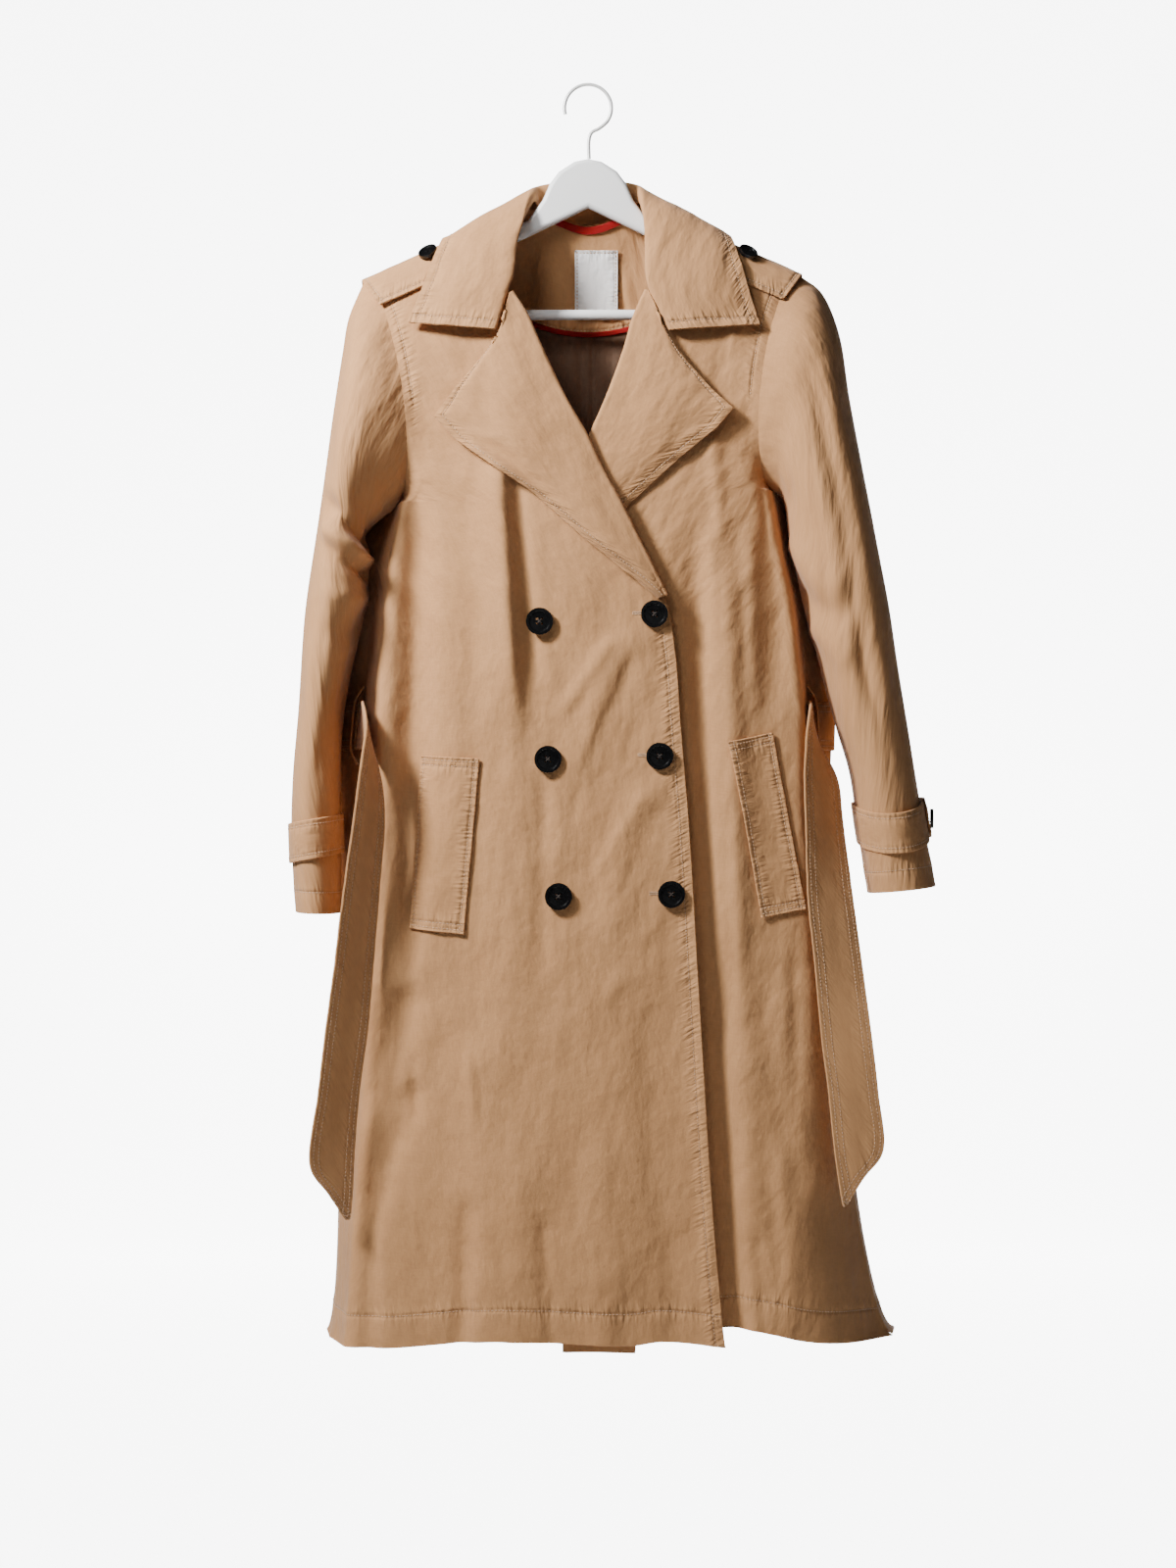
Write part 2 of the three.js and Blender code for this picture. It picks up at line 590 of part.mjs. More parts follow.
// The armhole seam. turn runs from 0 at the shoulder to 1 at the underarm; face is -1 at the front
function armhole(side, turn, face) {
  const angle = Math.PI * turn;
  const { tip, low, sign } = side;
  const inward = face < 0 ? side.frontIn : side.backIn;
  const deep = face < 0 ? side.front : side.back;
  const x = (tip.x + low.x) / 2 + ((tip.x - low.x) / 2) * Math.cos(angle) - inward * Math.sin(angle);
  const z = (tip.z + low.z) / 2 + ((tip.z - low.z) / 2) * Math.cos(angle);
  const y = face * deep * Math.sin(angle) * (1 - 0.25 * Math.cos(angle));
  return point(sign * x, y, z);
}

// One level across a panel: flat from its inner edge, round the corner and on to the side seam
function level(side, from, seam, cornerX, soft, surface, flats) {
  const heightAt = (x) => mix(from.z, seam.z, (x - from.x) / (seam.x - from.x));
  const corner = point(cornerX, surface(cornerX, heightAt(cornerX)), heightAt(cornerX));
  const startX = cornerX - side.sign * soft;
  const start = point(startX, surface(startX, heightAt(startX)), heightAt(startX));
  const reach = corner.distanceTo(seam);
  const end = corner.clone().lerp(seam, Math.min(0.5, soft / Math.max(reach, 0.01)));
  const row = steps(flats).map((t) => {
    const x = mix(from.x, startX, t);
    return point(x, surface(x, heightAt(x)), heightAt(x));
  });
  const bend = new THREE.QuadraticBezierCurve3(start, corner, end);
  [0.25, 0.5, 0.75, 1].forEach((t) => row.push(bend.getPoint(t)));
  [1 / 3, 2 / 3, 1].forEach((t) => row.push(end.clone().lerp(seam, t)));
  return row;
}

// A panel's rows: the first ones end on the armhole, the rest on the side seam
function panelRows(sideName, face, inner, surface, hemAt, flats) {
  const side = SIDES[sideName];
  const flank = FLANKS[sideName];
  const seamX = column(flank, 'z', 'seam');
  const cornerX = column(flank, 'z', face < 0 ? 'corner' : 'back');
  const soft = column(flank, 'z', 'soft');
  const rows = steps(UNDERARM_ROWS).map((turn) => {
    const seam = armhole(side, turn, face);
    const round = (1 - Math.cos(Math.PI * turn)) / 2;
    const from = inner(mix(round, turn, turn), side.low.z);
    const offset = mix(15, side.low.x - cornerX(side.low.z), ease(turn * 2 - 1));
    return level(side, from, seam, seam.x - side.sign * offset, mix(24, 8, turn), surface, flats);
  });
  steps(SKIRT_ROWS).slice(1).forEach((t) => {
    const even = mix(side.low.z, HEM.front, t);
    const seam = point(side.sign * seamX(even), 0, mix(even, hemAt(side.sign * seamX(even)), t ** 4));
    const from = inner(1, even);
    from.z = mix(even, hemAt(from.x), t ** 4);
    const row = level(side, from, seam, side.sign * cornerX(even), soft(even), surface, flats);
    row.forEach((p) => {
      p.z = mix(even, hemAt(p.x), t ** 4);
    });
    rows.push(row);
  });
  return rows;
}

// A front, from its free edge to the side seam
function frontSheet(sideName, flats) {
  const side = SIDES[sideName];
  const edgeX = column(FREE_EDGES[sideName], 'z', 'x');
  const hemAt = column(HEM_LINES[sideName], 'x', 'z');
  const inner = (down, level) => {
    const z = mix(side.neck.z, level, down);
    return point(edgeX(z), 0, z);
  };
  const rows = panelRows(sideName, -1, inner, (x, z) => frontY(sideName, x, z), hemAt, flats);
  return new Sheet(rows, point(0, -1, 0));
}

// The neckline of the back, lowest in the middle
function necklineHeight(x) {
  return SIDES.left.neck.z - NECK.dip * (1 - ease(Math.abs(x) / 56));
}

// One half of the back, from the centre seam to the side seam
function backSheet(sideName, flats) {
  const side = SIDES[sideName];
  const inner = (down, level) => point(CENTRE_BACK, 0, mix(necklineHeight(CENTRE_BACK), level, down));
  const sideHem = HEM_LINES[sideName].find((row) => row.x * side.sign > 230).z;
  const seamX = FLANKS[sideName].at(-1).seam;
  const hemAt = (x) => mix(HEM.back, sideHem, ease((Math.abs(x) - 120) / (seamX - 120)));
  const rows = panelRows(sideName, 1, inner, backY, hemAt, flats);
  const shoulders = rows.slice(0, UNDERARM_ROWS);
  shoulders.forEach((row, r) => {
    const left = 1 - r / UNDERARM_ROWS;
    row.slice(0, flats + 1).forEach((p) => {
      const top = Math.abs(p.x) < side.neck.x ? necklineHeight(p.x) : shoulderHeight(p.x);
      const straight = mix(necklineHeight(CENTRE_BACK), side.tip.z, (p.x - CENTRE_BACK) / (row.at(-1).x - CENTRE_BACK));
      p.z += (top - straight) * left;
      p.y = backY(p.x, p.z);
    });
  });
  return new Sheet(rows, point(0, 1, 0));
}

// The vent: below its top the two halves of the back part by a few millimetres
function openVent(sheet, sign) {
  sheet.points.forEach((row) => {
    const open = THREE.MathUtils.clamp((VENT_TOP - row[0].z) / 350, 0, 1);
    row[0].x += sign * 3 * open;
  });
}

// Sleeves

// A point of a sleeve. ring counts from the armhole, turn from 0 on the outside to 1 underneath
function sleevePoint(sideName, ring, turn, face) {
  const side = SIDES[sideName];
  const rings = SLEEVES[sideName];
  const at = (number) => {
    if (number === 0) return armhole(side, turn, face);
    const row = rings[number - 1];
    const angle = Math.PI * turn;
    const bend = row.bend * Math.sin(angle) * (face < 0 ? 1 : 0.5);
    const x = (row.outX + row.inX) / 2 + ((row.outX - row.inX) / 2) * Math.cos(angle) - bend;
    const z = (row.outZ + row.inZ) / 2 + ((row.outZ - row.inZ) / 2) * Math.cos(angle);
    return point(side.sign * x, row.y + face * row.deep * Math.sin(angle), z);
  };
  const whole = Math.min(Math.floor(ring), rings.length - 1);
  return at(whole).lerp(at(whole + 1), ring - whole);
}

function sleeveSheet(sideName, face) {
  const rings = steps(SLEEVES[sideName].length);
  const rows = rings.map((_, ring) => steps(UNDERARM_ROWS).map((turn) => sleevePoint(sideName, ring, turn, face)));
  return new Sheet(rows, point(0, face, 0));
}

// Body and sleeves are cut together, so that every seam has one normal on both of its sides
function buildShell() {
  const sheets = {};
  Object.entries(SIDES).forEach(([sideName, side]) => {
    const front = frontSheet(sideName, sideName === 'left' ? 19 : 15);
    const back = backSheet(sideName, 9);
    const sleeves = [-1, 1].map((face) => sleeveSheet(sideName, face));
    openVent(back, side.sign);
    const lastFront = front.edge('last');
    const lastBack = back.edge('last');
    shareNormals(front, lastFront.slice(UNDERARM_ROWS + 1), back, lastBack.slice(UNDERARM_ROWS + 1));
    [front, back].forEach((panel, i) => {
      const armRows = panel.edge('last').slice(0, UNDERARM_ROWS + 1);
      shareNormals(panel, armRows, sleeves[i], sleeves[i].edge('top'));
      panel.normals[0].forEach((n) => n.setY(0).normalize());
    });
    ['first', 'last'].forEach((name) => {
      shareNormals(sleeves[0], sleeves[0].edge(name), sleeves[1], sleeves[1].edge(name));
    });
    [front, back, ...sleeves].forEach((sheet) => sheet.trim('last').trim('top'));
    sleeves.forEach((sheet) => {
      sheet.trim('first');
      sheet.trim('top', sheet.edge('top').slice(-3), 0.8);
    });
    [front, back].forEach((panel) => panel.trim('last', panel.edge('last').slice(UNDERARM_ROWS - 1, UNDERARM_ROWS + 1), 0.5));
    back.trim('first');
    sheets[sideName] = { front, back, sleeves };
  });
  addPiece('front_over', sheets.left.front.wall(0, -CLOTH), 'twill');
  addPiece('front_under', sheets.right.front.wall(0, -CLOTH), 'twill');
  Object.entries(sheets).forEach(([sideName, { back, sleeves }]) => {
    addPiece(`back_${sideName}`, back.wall(0, -CLOTH), 'twill');
    addPiece(`sleeve_${sideName}_front`, sleeves[0].wall(0, -CLOTH), 'twill');
    addPiece(`sleeve_${sideName}_back`, sleeves[1].wall(0, -CLOTH), 'twill');
  });
  return { left: sheets.left.front, right: sheets.right.front };
}

// Makes a sheet between four curves of the front or back: across each row at even steps
function patchRows(rows, columns, place) {
  return steps(rows).map((v) => steps(columns).map((u) => place(u, v)));
}

// Lapels and collar

function lapelSheet(sideName) {
  const side = SIDES[sideName];
  const table = LAPELS[sideName];
  const rows = table.map((row, i) => {
    const before = table[Math.max(i - 1, 0)];
    const after = table[Math.min(i + 1, table.length - 1)];
    const along = new THREE.Vector2(after.rollX - before.rollX, after.rollZ - before.rollZ).normalize();
    const out = new THREE.Vector2(along.y, -along.x);
    if (out.x * side.sign < 0) out.negate();
    const centre = new THREE.Vector2(row.rollX, row.rollZ).addScaledVector(out, ROLL);
    const base = frontY(sideName, centre.x, centre.y) + 1.6;
    const roll = [0.08, 0.25, 0.5, 0.75, 1].map((part) => {
      const angle = Math.PI * part;
      const reach = -ROLL * Math.sin(angle);
      return point(centre.x + out.x * reach, base - ROLL + ROLL * Math.cos(angle), centre.y + out.y * reach);
    });
    const leaf = steps(7).slice(1).map((t) => {
      const x = mix(centre.x, row.edgeX, t);
      const z = mix(centre.y, row.edgeZ, t);
      const lift = mix(2 * ROLL - 1.6, row.lift, t) + 3 * Math.sin(Math.PI * t);
      return point(x, frontY(sideName, x, z) - lift, z);
    });
    return [...roll, ...leaf];
  });
  return new Sheet(rows, point(0, -1, 0));
}

// One section of the collar, from the neck seam over the fold to the outer edge
function collarSection(station, sign) {
  const turn = THREE.MathUtils.degToRad(station.face);
  const rise = THREE.MathUtils.degToRad(station.rise);
  const face = point(-sign * Math.cos(turn), Math.sin(turn), 0);
  const inward = point(sign * Math.sin(turn), Math.cos(turn), 0);
  const up = inward.multiplyScalar(Math.cos(rise)).add(point(0, 0, Math.sin(rise)));
  const fold = point(...station.fold);
  const edge = point(...station.edge);
  const outwards = edge.clone().sub(fold).normalize();
  const neck = fold.clone().addScaledVector(up, -station.stand).addScaledVector(face, -COLLAR_BEND);
  const rolled = fold.clone().addScaledVector(face, COLLAR_BEND).addScaledVector(outwards, COLLAR_BEND);
  const inside = fold.clone().addScaledVector(up, -COLLAR_BEND).addScaledVector(face, -COLLAR_BEND);
  if (station.stand <= COLLAR_BEND) inside.lerp(fold, 0.4);
  const middle = rolled.clone().lerp(edge, 0.5);
  const across = outwards.clone().cross(up.clone().cross(face)).normalize();
  const lift = across.dot(face) + across.z < 0 ? -station.full : station.full;
  middle.addScaledVector(across, lift);
  return new THREE.CatmullRomCurve3([neck, inside, fold, rolled, middle, edge], false, 'centripetal');
}

function collarSheet() {
  const stations = [
    ...COLLAR.left.map((row) => collarSection(row, -1)),
    ...COLLAR.middle.map((row) => collarSection(row, -1)),
    ...[...COLLAR.right].reverse().map((row) => collarSection(row, 1)),
  ];
  const places = [0, 0.2, 0.3, 0.4, 0.5, 0.6, 0.7, 0.8, 0.9, 1];
  const columns = places.map((place) => {
    const line = new THREE.CatmullRomCurve3(stations.map((curve) => curve.getPoint(place)));
    return line;
  });
  const rows = steps(30).map((t) => columns.map((line) => line.getPoint(t)));
  return new Sheet(rows, point(0, 1, 0));
}

// What lies on the body

// A point of the front or back near the shoulder seam; drop counts down the front, or the back if negative
function shoulderPoint(x, drop) {
  const z = shoulderHeight(x) - Math.abs(drop);
  return point(x, drop < 0 ? hangBack(-drop) : -hangFront(drop), z);
}

function buildEpaulet(sideName, side) {
  const rows = steps(7).map((t) => EPAULET.drops.map((drop) => {
    const outEnd = side.tip.x + 0.5 - EPAULET.slant * Math.max(drop, 0) / 35;
    return shoulderPoint(side.sign * mix(EPAULET.inEnd, outEnd, t), drop);
  }));
  const sheet = new Sheet(rows, point(0, 0, 1));
  addPiece(`epaulet_${sideName}`, sheet.wall(0.8 + EPAULET.thick, 0.8), 'twill');
}

function pocketSheet(sideName, front) {
  const { top, foot } = POCKETS[sideName];
  return new Sheet(patchRows(9, 4, (u, v) => {
    const x = mix(mix(top[0], top[2], u), mix(foot[0], foot[2], u), v);
    const z = mix(mix(top[1], top[3], u), mix(foot[1], foot[3], u), v);
    return point(x, front.frontAt(x, z), z);
  }), point(0, -1, 0));
}

// A cuff strap goes round the sleeve, its rounded end lapping over its start
function buildCuffStrap(sideName) {
  const strap = CUFF_STRAPS[sideName];
  const rings = SLEEVES[sideName];
  const middles = rings.map((row, i) => ({ ring: i + 1, z: (row.outZ + row.inZ) / 2 }));
  const ringAt = column(middles, 'z', 'ring');
  const around = steps(26).map((t) => {
    const angle = THREE.MathUtils.degToRad(strap.start + t * 384);
    const turn = Math.acos(Math.cos(angle)) / Math.PI;
    const face = Math.sin(angle) > 0 ? -1 : 1;
    const tilt = mix(strap.outerTop, strap.innerTop, (1 - Math.cos(angle)) / 2);
    const top = tilt - strap.sag * Math.max(Math.sin(angle), 0);
    const tip = t > 0.96 ? 7 * ((t - 0.96) / 0.04) : 0;
    const lift = 0.9 + 2.6 * ease((t - 0.88) / 0.05);
    return [top - tip, top - strap.height / 2, top - strap.height + tip].map((z) => {
      const ring = ringAt(z);
      const here = sleevePoint(sideName, ring, turn, face);
      const beside = sleevePoint(sideName, ring, Math.min(turn + 0.02, 1), face);
      const back = sleevePoint(sideName, ring, Math.max(turn - 0.02, 0), face);
      const out = beside.sub(back).cross(point(0, 0, 1)).normalize();
      const centre = sleevePoint(sideName, ring, 0, -1).lerp(sleevePoint(sideName, ring, 1, -1), 0.5);
      if (out.dot(here.clone().sub(centre)) < 0) out.negate();
      return here.addScaledVector(out, lift);
    });
  });
  const half = around[13][1].clone().sub(sleevePoint(sideName, ringAt(around[13][1].z), 0.5, -1));
  const sheet = new Sheet(around, half.y > 50 ? point(0, 1, 0) : point(0, -1, 0));
  addPiece(`cuff_strap_${sideName}`, sheet.wall(LAYERED, 0), 'twill');
  return around;
}

// A button's profile: a flat back, a round edge and a raised rim
function buttonGeometry(radius, thick) {
  const profile = [
    [0, 0],
    [radius - 1, 0],
    [radius, 1],
    [radius, thick - 1.2],
    [radius - 1.4, thick],
    [radius - 3.2, thick - 0.9],
    [0, thick - 1.1],
  ].map(([x, y]) => new THREE.Vector2(x, y));
  return new THREE.LatheGeometry(profile, 14);
}

function addButton(name, place, out, radius, thick) {
  const button = addPiece(name, buttonGeometry(radius, thick), 'button');
  button.position.copy(place);
  button.quaternion.setFromUnitVectors(point(0, 1, 0), out.clone().normalize());
}

// Stands a front button clear of the highest cloth under it
function addFrontButton(name, x, z) {
  const around = steps(8).map((t) => {
    const angle = 2 * Math.PI * t;
    const reach = BUTTONS.radius;
    return frontY('left', x + reach * Math.cos(angle), z + reach * Math.sin(angle));
  });
  const y = Math.min(frontY('left', x, z), ...around) - 0.6;
  addButton(name, point(x, y, z), point(0, -1, 0), BUTTONS.radius, BUTTONS.thick);
}

function buildButtons(straps) {
  BUTTONS.rows.forEach((row, i) => {
    addFrontButton(`button_left_${i + 1}`, row.leftX, row.leftZ);
    addFrontButton(`button_right_${i + 1}`, row.rightX, row.rightZ);
  });
  Object.entries(SIDES).forEach(([sideName, side]) => {
    const { x, drop } = EPAULET.button;
    const rest = shoulderPoint(side.sign * x, drop);
    const out = point(side.sign * 0.38, -0.62, 0.7).normalize();
    const small = BUTTONS.smallRadius;
    addButton(`epaulet_button_${sideName}`, rest.addScaledVector(out, EPAULET.thick + 2.6), out, small, 3.4);
    const end = straps[sideName][25][1];
    const before = straps[sideName][24][1];
    const across = end.clone().sub(before).cross(point(0, 0, 1)).normalize();
    if (across.x * side.sign < 0) across.negate();
    addButton(`cuff_button_${sideName}`, end.clone().addScaledVector(across, LAYERED + 1.6), across, small, 3.4);
  });
}

// The belt

// The body's back face round one side at one height, from the centre seam to the side seam
function backLevel(sideName, z) {
  const side = SIDES[sideName];
  const flank = FLANKS[sideName];
  const seam = point(side.sign * column(flank, 'z', 'seam')(z), 0, z);
  const corner = side.sign * column(flank, 'z', 'back')(z);
  return level(side, point(CENTRE_BACK, 0, z), seam, corner, column(flank, 'z', 'soft')(z), backY, 9);
}

function buildBelt() {
  const rows = steps(1).map((t) => {
    const z = mix(BELT.top, BELT.bottom, t);
    return [...backLevel('left', z).reverse(), ...backLevel('right', z).slice(1)];
  });
  const back = new Sheet(rows, point(0, 1, 0)).trim('first').trim('last');
  addPiece('belt_back', back.wall(BELT.lift + BELT.thick, BELT.lift), 'twill');
  Object.entries(BELT_ENDS).forEach(([sideName, table]) => {
    const edges = ['near', 'far'].map((edge) => new THREE.CatmullRomCurve3(
      table.map((row) => point(row[`${edge}X`], row[`${edge}Y`], row[`${edge}Z`])),
      false,
      'centripetal',
    ));
    const count = 2 * (table.length - 1);
    const ribbon = steps(count).map((t) => steps(2).map((u) => edges[0].getPoint(t).lerp(edges[1].getPoint(t), u)));
    const sheet = new Sheet(ribbon, point(0, -1, 0));
    addPiece(`belt_end_${sideName}`, sheet.wall(BELT.thick / 2, -BELT.thick / 2), 'twill');
  });
}

function buildBeltLoop(sideName, side) {
  const seamX = column(FLANKS[sideName], 'z', 'seam');
  const bulge = [
    { z: BELT_LOOP.top, out: 0 },
    { z: BELT_LOOP.top - 5, out: 3 },
    { z: BELT.top + 2, out: 6.5 },
    { z: (BELT.top + BELT.bottom) / 2, out: 7.5 },
    { z: BELT.bottom - 2, out: 6.5 },
    { z: BELT_LOOP.bottom + 5, out: 3 },
    { z: BELT_LOOP.bottom, out: 0 },
  ];
  const rows = bulge.map(({ z, out }) => [-0.5, 0, 0.5].map((u) => {
    const y = u * BELT_LOOP.width - 2;
    return point(side.sign * (seamX(z) + out + 0.6 + 0.45 * Math.max(y, 0)), y, z);
  }));
  const sheet = new Sheet(rows, point(side.sign, 0, 0));
  addPiece(`belt_loop_${sideName}`, sheet.wall(BELT_LOOP.thick, 0), 'twill');
}

// The inside at the neck and the vent

// A point that stands inside the back by a distance
const insideBack = (x, z, distance) => point(x, backY(x, z) - CLOTH - distance, z);
const facingFoot = (x) => NECK.facing + NECK.facingRise * (x / 48) ** 2;

function buildInside() {
  const half = NECK.half;
  const place = (topAt, footAt, left, right, distance) => (u, v) => {
    const x = mix(left, right, u);
    return insideBack(x, mix(topAt(x), footAt(x), v), distance);
  };
  const neckTop = (x) => mix(necklineHeight(x) - 3, shoulderHeight(x) - 24, ease((Math.abs(x) - 40) / 16));
  const inward = point(0, -1, 0);
  const facing = new Sheet(patchRows(4, 12, place(neckTop, facingFoot, -half, half, 2.4)), inward);
  addPiece('neck_facing', facing.wall(1, 0), 'twill');
  const belowFacing = (x) => facingFoot(x) - 3;
  const lining = new Sheet(patchRows(4, 6, place(belowFacing, () => NECK.lining, -80, 80, 2.4)), inward);
  addPiece('lining', lining.wall(1, 0), 'lining');
  const piping = new Sheet(
    patchRows(1, 12, place((x) => facingFoot(x) + 1, (x) => facingFoot(x) - 3, -72, 72, 3.8)),
    inward,
  );
  addPiece('neck_piping', piping.wall(1.6, 0), 'red');
  const tape = new Sheet(
    patchRows(1, 8, place((x) => neckTop(x) + 1, (x) => neckTop(x) - 8, -36, 38, 4.2)),
    inward,
  );
  addPiece('neck_tape', tape.wall(1, 0), 'red');
  const label = new Sheet(
    patchRows(4, 3, place(() => LABEL.top, () => LABEL.bottom, LABEL.left, LABEL.right, 4)),
    inward,
  );
  addPiece('neck_label', label.wall(1, 0), 'label');
  const under = new Sheet(
    patchRows(7, 4, place(() => VENT_TOP + 20, () => -1240, -25, 47, 0.9)),
    inward,
  );
  addPiece('vent_underlap', under.wall(CLOTH, 0), 'twill');
}

// The hanger

function buildHanger() {
  const half = [...HANGER_TOP, ...HANGER_FOOT];
  const outline = [
    ...half.map(({ x, z }) => new THREE.Vector2(x, z)),
    new THREE.Vector2(0, -118),
    ...[...half].reverse().slice(0, -1).map(({ x, z }) => new THREE.Vector2(-x, z)),
  ];
  const shape = new THREE.Shape(outline);
  const board = new THREE.ExtrudeGeometry(shape, {
    depth: HANGER.thick - 2 * HANGER.bevel,
    bevelEnabled: true,
    bevelThickness: HANGER.bevel,
    bevelSize: 3,
    bevelOffset: -3,
    bevelSegments: 2,
    steps: 1,
  });
  const hanger = addPiece('hanger_board', board, 'wood');
  hanger.rotation.x = Math.PI / 2;
  hanger.position.y = HANGER.thick / 2 - HANGER.bevel;
  const { z, radius, half: reach } = HANGER.bar;
  const bar = addPiece('hanger_bar', new THREE.CylinderGeometry(radius, radius, 2 * reach, 16), 'wood');
  bar.rotation.z = Math.PI / 2;
  bar.position.z = z;
  buildHook();
}

function buildHook() {
  const { wire, radius, stemX } = HANGER.hook;
  const centreZ = wire - radius;
  const bend = steps(9).map((t) => {
    const angle = THREE.MathUtils.degToRad(mix(-34, 196, t));
    return point(radius * Math.cos(angle), 0, centreZ + radius * Math.sin(angle));
  });
  const path = new THREE.CatmullRomCurve3(
    [point(stemX, 0, -70.5), point(stemX, 0, -52), point(3.5, 0, -45), point(11, 0, -40.8), ...bend],
    false,
    'centripetal',
  );
  const section = new THREE.Shape().absarc(0, 0, wire, 0, 2 * Math.PI);
  const hook = new THREE.ExtrudeGeometry(section, { steps: 26, curveSegments: 3, extrudePath: path });
  addPiece('hanger_hook', hook, 'wire');
}

const fronts = buildShell();
addPiece('lapel_over', lapelSheet('left').wall(0, -LAYERED), 'twill');
addPiece('lapel_under', lapelSheet('right').wall(0, -LAYERED), 'twill');
addPiece('collar', collarSheet().wall(0, -LAYERED), 'twill');
const straps = {};
Object.entries(SIDES).forEach(([sideName, side]) => {
  buildEpaulet(sideName, side);
  addPiece(`pocket_${sideName}`, pocketSheet(sideName, fronts[sideName]).wall(1.2 + LAYERED, 1.2), 'twill');
  straps[sideName] = buildCuffStrap(sideName);
  buildBeltLoop(sideName, side);
});
buildButtons(straps);
buildBelt();
buildInside();
buildHanger();

export default coat;
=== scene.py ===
"""A double-breasted trench coat on a wooden hanger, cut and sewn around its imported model.

Tables and sizes are in millimetres and meshes in metres. The front faces -Y, +Z is up, and left and
right are the viewer's. The origin is the inside top of the hanger's hook.
"""

from __future__ import annotations

import logging
import math
from dataclasses import dataclass, field
from enum import Enum
from typing import Callable, NamedTuple, Sequence

import bpy
import numpy as np
from mathutils import Matrix, Vector

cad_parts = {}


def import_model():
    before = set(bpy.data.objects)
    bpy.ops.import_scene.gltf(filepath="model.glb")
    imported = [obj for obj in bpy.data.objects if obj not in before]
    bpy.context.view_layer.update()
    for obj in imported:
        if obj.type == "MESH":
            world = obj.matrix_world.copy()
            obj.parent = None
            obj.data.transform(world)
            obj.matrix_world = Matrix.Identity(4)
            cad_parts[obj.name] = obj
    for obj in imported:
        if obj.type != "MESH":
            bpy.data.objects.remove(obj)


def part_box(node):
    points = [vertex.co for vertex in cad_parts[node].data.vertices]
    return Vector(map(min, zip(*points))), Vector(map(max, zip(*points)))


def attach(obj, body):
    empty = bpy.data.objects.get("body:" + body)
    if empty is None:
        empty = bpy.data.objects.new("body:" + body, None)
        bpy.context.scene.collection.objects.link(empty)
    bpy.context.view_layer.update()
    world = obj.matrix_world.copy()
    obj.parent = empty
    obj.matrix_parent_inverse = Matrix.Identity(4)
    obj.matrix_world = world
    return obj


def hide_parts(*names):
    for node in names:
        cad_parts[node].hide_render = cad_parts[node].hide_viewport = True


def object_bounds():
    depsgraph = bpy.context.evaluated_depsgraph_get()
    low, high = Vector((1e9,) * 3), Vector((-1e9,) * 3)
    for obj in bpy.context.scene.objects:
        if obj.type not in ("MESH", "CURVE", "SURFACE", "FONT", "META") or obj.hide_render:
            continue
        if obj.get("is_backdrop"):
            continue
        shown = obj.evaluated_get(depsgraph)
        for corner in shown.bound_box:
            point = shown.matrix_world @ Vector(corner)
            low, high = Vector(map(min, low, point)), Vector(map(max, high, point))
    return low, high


LOG = logging.getLogger("trench_coat")
Array = np.ndarray
Surface = Callable[[Array, Array], Array]

MM = 0.001
CLOTH = 1.2
LAYERED = 2.0
ROLL = 4.0
CENTRE_BACK = 6.0
VENT_TOP = -860.0
HEM_FRONT = -1206.0
HEM_BACK = -1214.0
BELT_TOP = -597.0
BELT_BOTTOM = -643.0
BELT_THICK = 2.4
BELT_LIFT = 1.1
COLLAR_BEND = 3.0
ARM_ROWS = 60
SKIRT_ROWS = 190
NECK_BEHIND = 14.0
NECK_DIP = 15.0
FACING_FOOT = -236.0
FACING_RISE = 8.0
LINING_FOOT = -372.0


class Half(Enum):
    """A side of the coat, as the viewer sees it."""

    LEFT = "left"
    RIGHT = "right"


class Side(NamedTuple):
    """Where a side's shoulder and armhole lie, and how far the armhole bends and reaches."""

    sign: int
    neck_x: float
    neck_z: float
    tip_x: float
    tip_z: float
    low_x: float
    low_z: float
    front_in: float
    back_in: float
    front: float
    back: float


class Hang(NamedTuple):
    """How far the cloth hangs out from the hanger at one drop below the shoulder seam."""

    drop: float
    front: float
    back: float


class Flank(NamedTuple):
    """Where the front turns its corner, the side seam and the back's corner at one height."""

    z: float
    corner: float
    seam: float
    back: float
    soft: float


class EdgePlace(NamedTuple):
    """The free edge of a front at one height."""

    z: float
    x: float


class Lap(NamedTuple):
    """How far the lapping front stands off the other one at one height."""

    z: float
    gap: float


class Fold(NamedTuple):
    """A fold between two places: its width on each side and its height towards the viewer."""

    x0: float
    z0: float
    x1: float
    z1: float
    inner: float
    outer: float
    height: float


class HemPlace(NamedTuple):
    """The hem's height at one place across."""

    x: float
    z: float


class Ring(NamedTuple):
    """A ring of a sleeve: its outer and inner point, half depth, middle and forward bend."""

    out_x: float
    out_z: float
    in_x: float
    in_z: float
    deep: float
    y: float
    bend: float


class Leaf(NamedTuple):
    """A line across a lapel from its roll to its free edge, and how far the edge stands off."""

    roll_x: float
    roll_z: float
    edge_x: float
    edge_z: float
    lift: float


class Station(NamedTuple):
    """A section of the collar: its fold, its outer edge, the way it looks and its stand."""

    fold: tuple[float, float, float]
    edge: tuple[float, float, float]
    face: float
    rise: float
    stand: float
    full: float


class BeltSpan(NamedTuple):
    """A line across a belt end, from its near edge to its far edge."""

    near_x: float
    near_y: float
    near_z: float
    far_x: float
    far_y: float
    far_z: float


class Outline(NamedTuple):
    """A corner of the hanger's outline."""

    x: float
    z: float


class Welt(NamedTuple):
    """A pocket's four corners: the top edge's left and right end, then the foot's."""

    top: tuple[float, float, float, float]
    foot: tuple[float, float, float, float]


class Strap(NamedTuple):
    """A cuff strap: where its top edge lies outside and inside the arm, and how far it sags."""

    outer_top: float
    inner_top: float
    sag: float
    height: float
    start: float


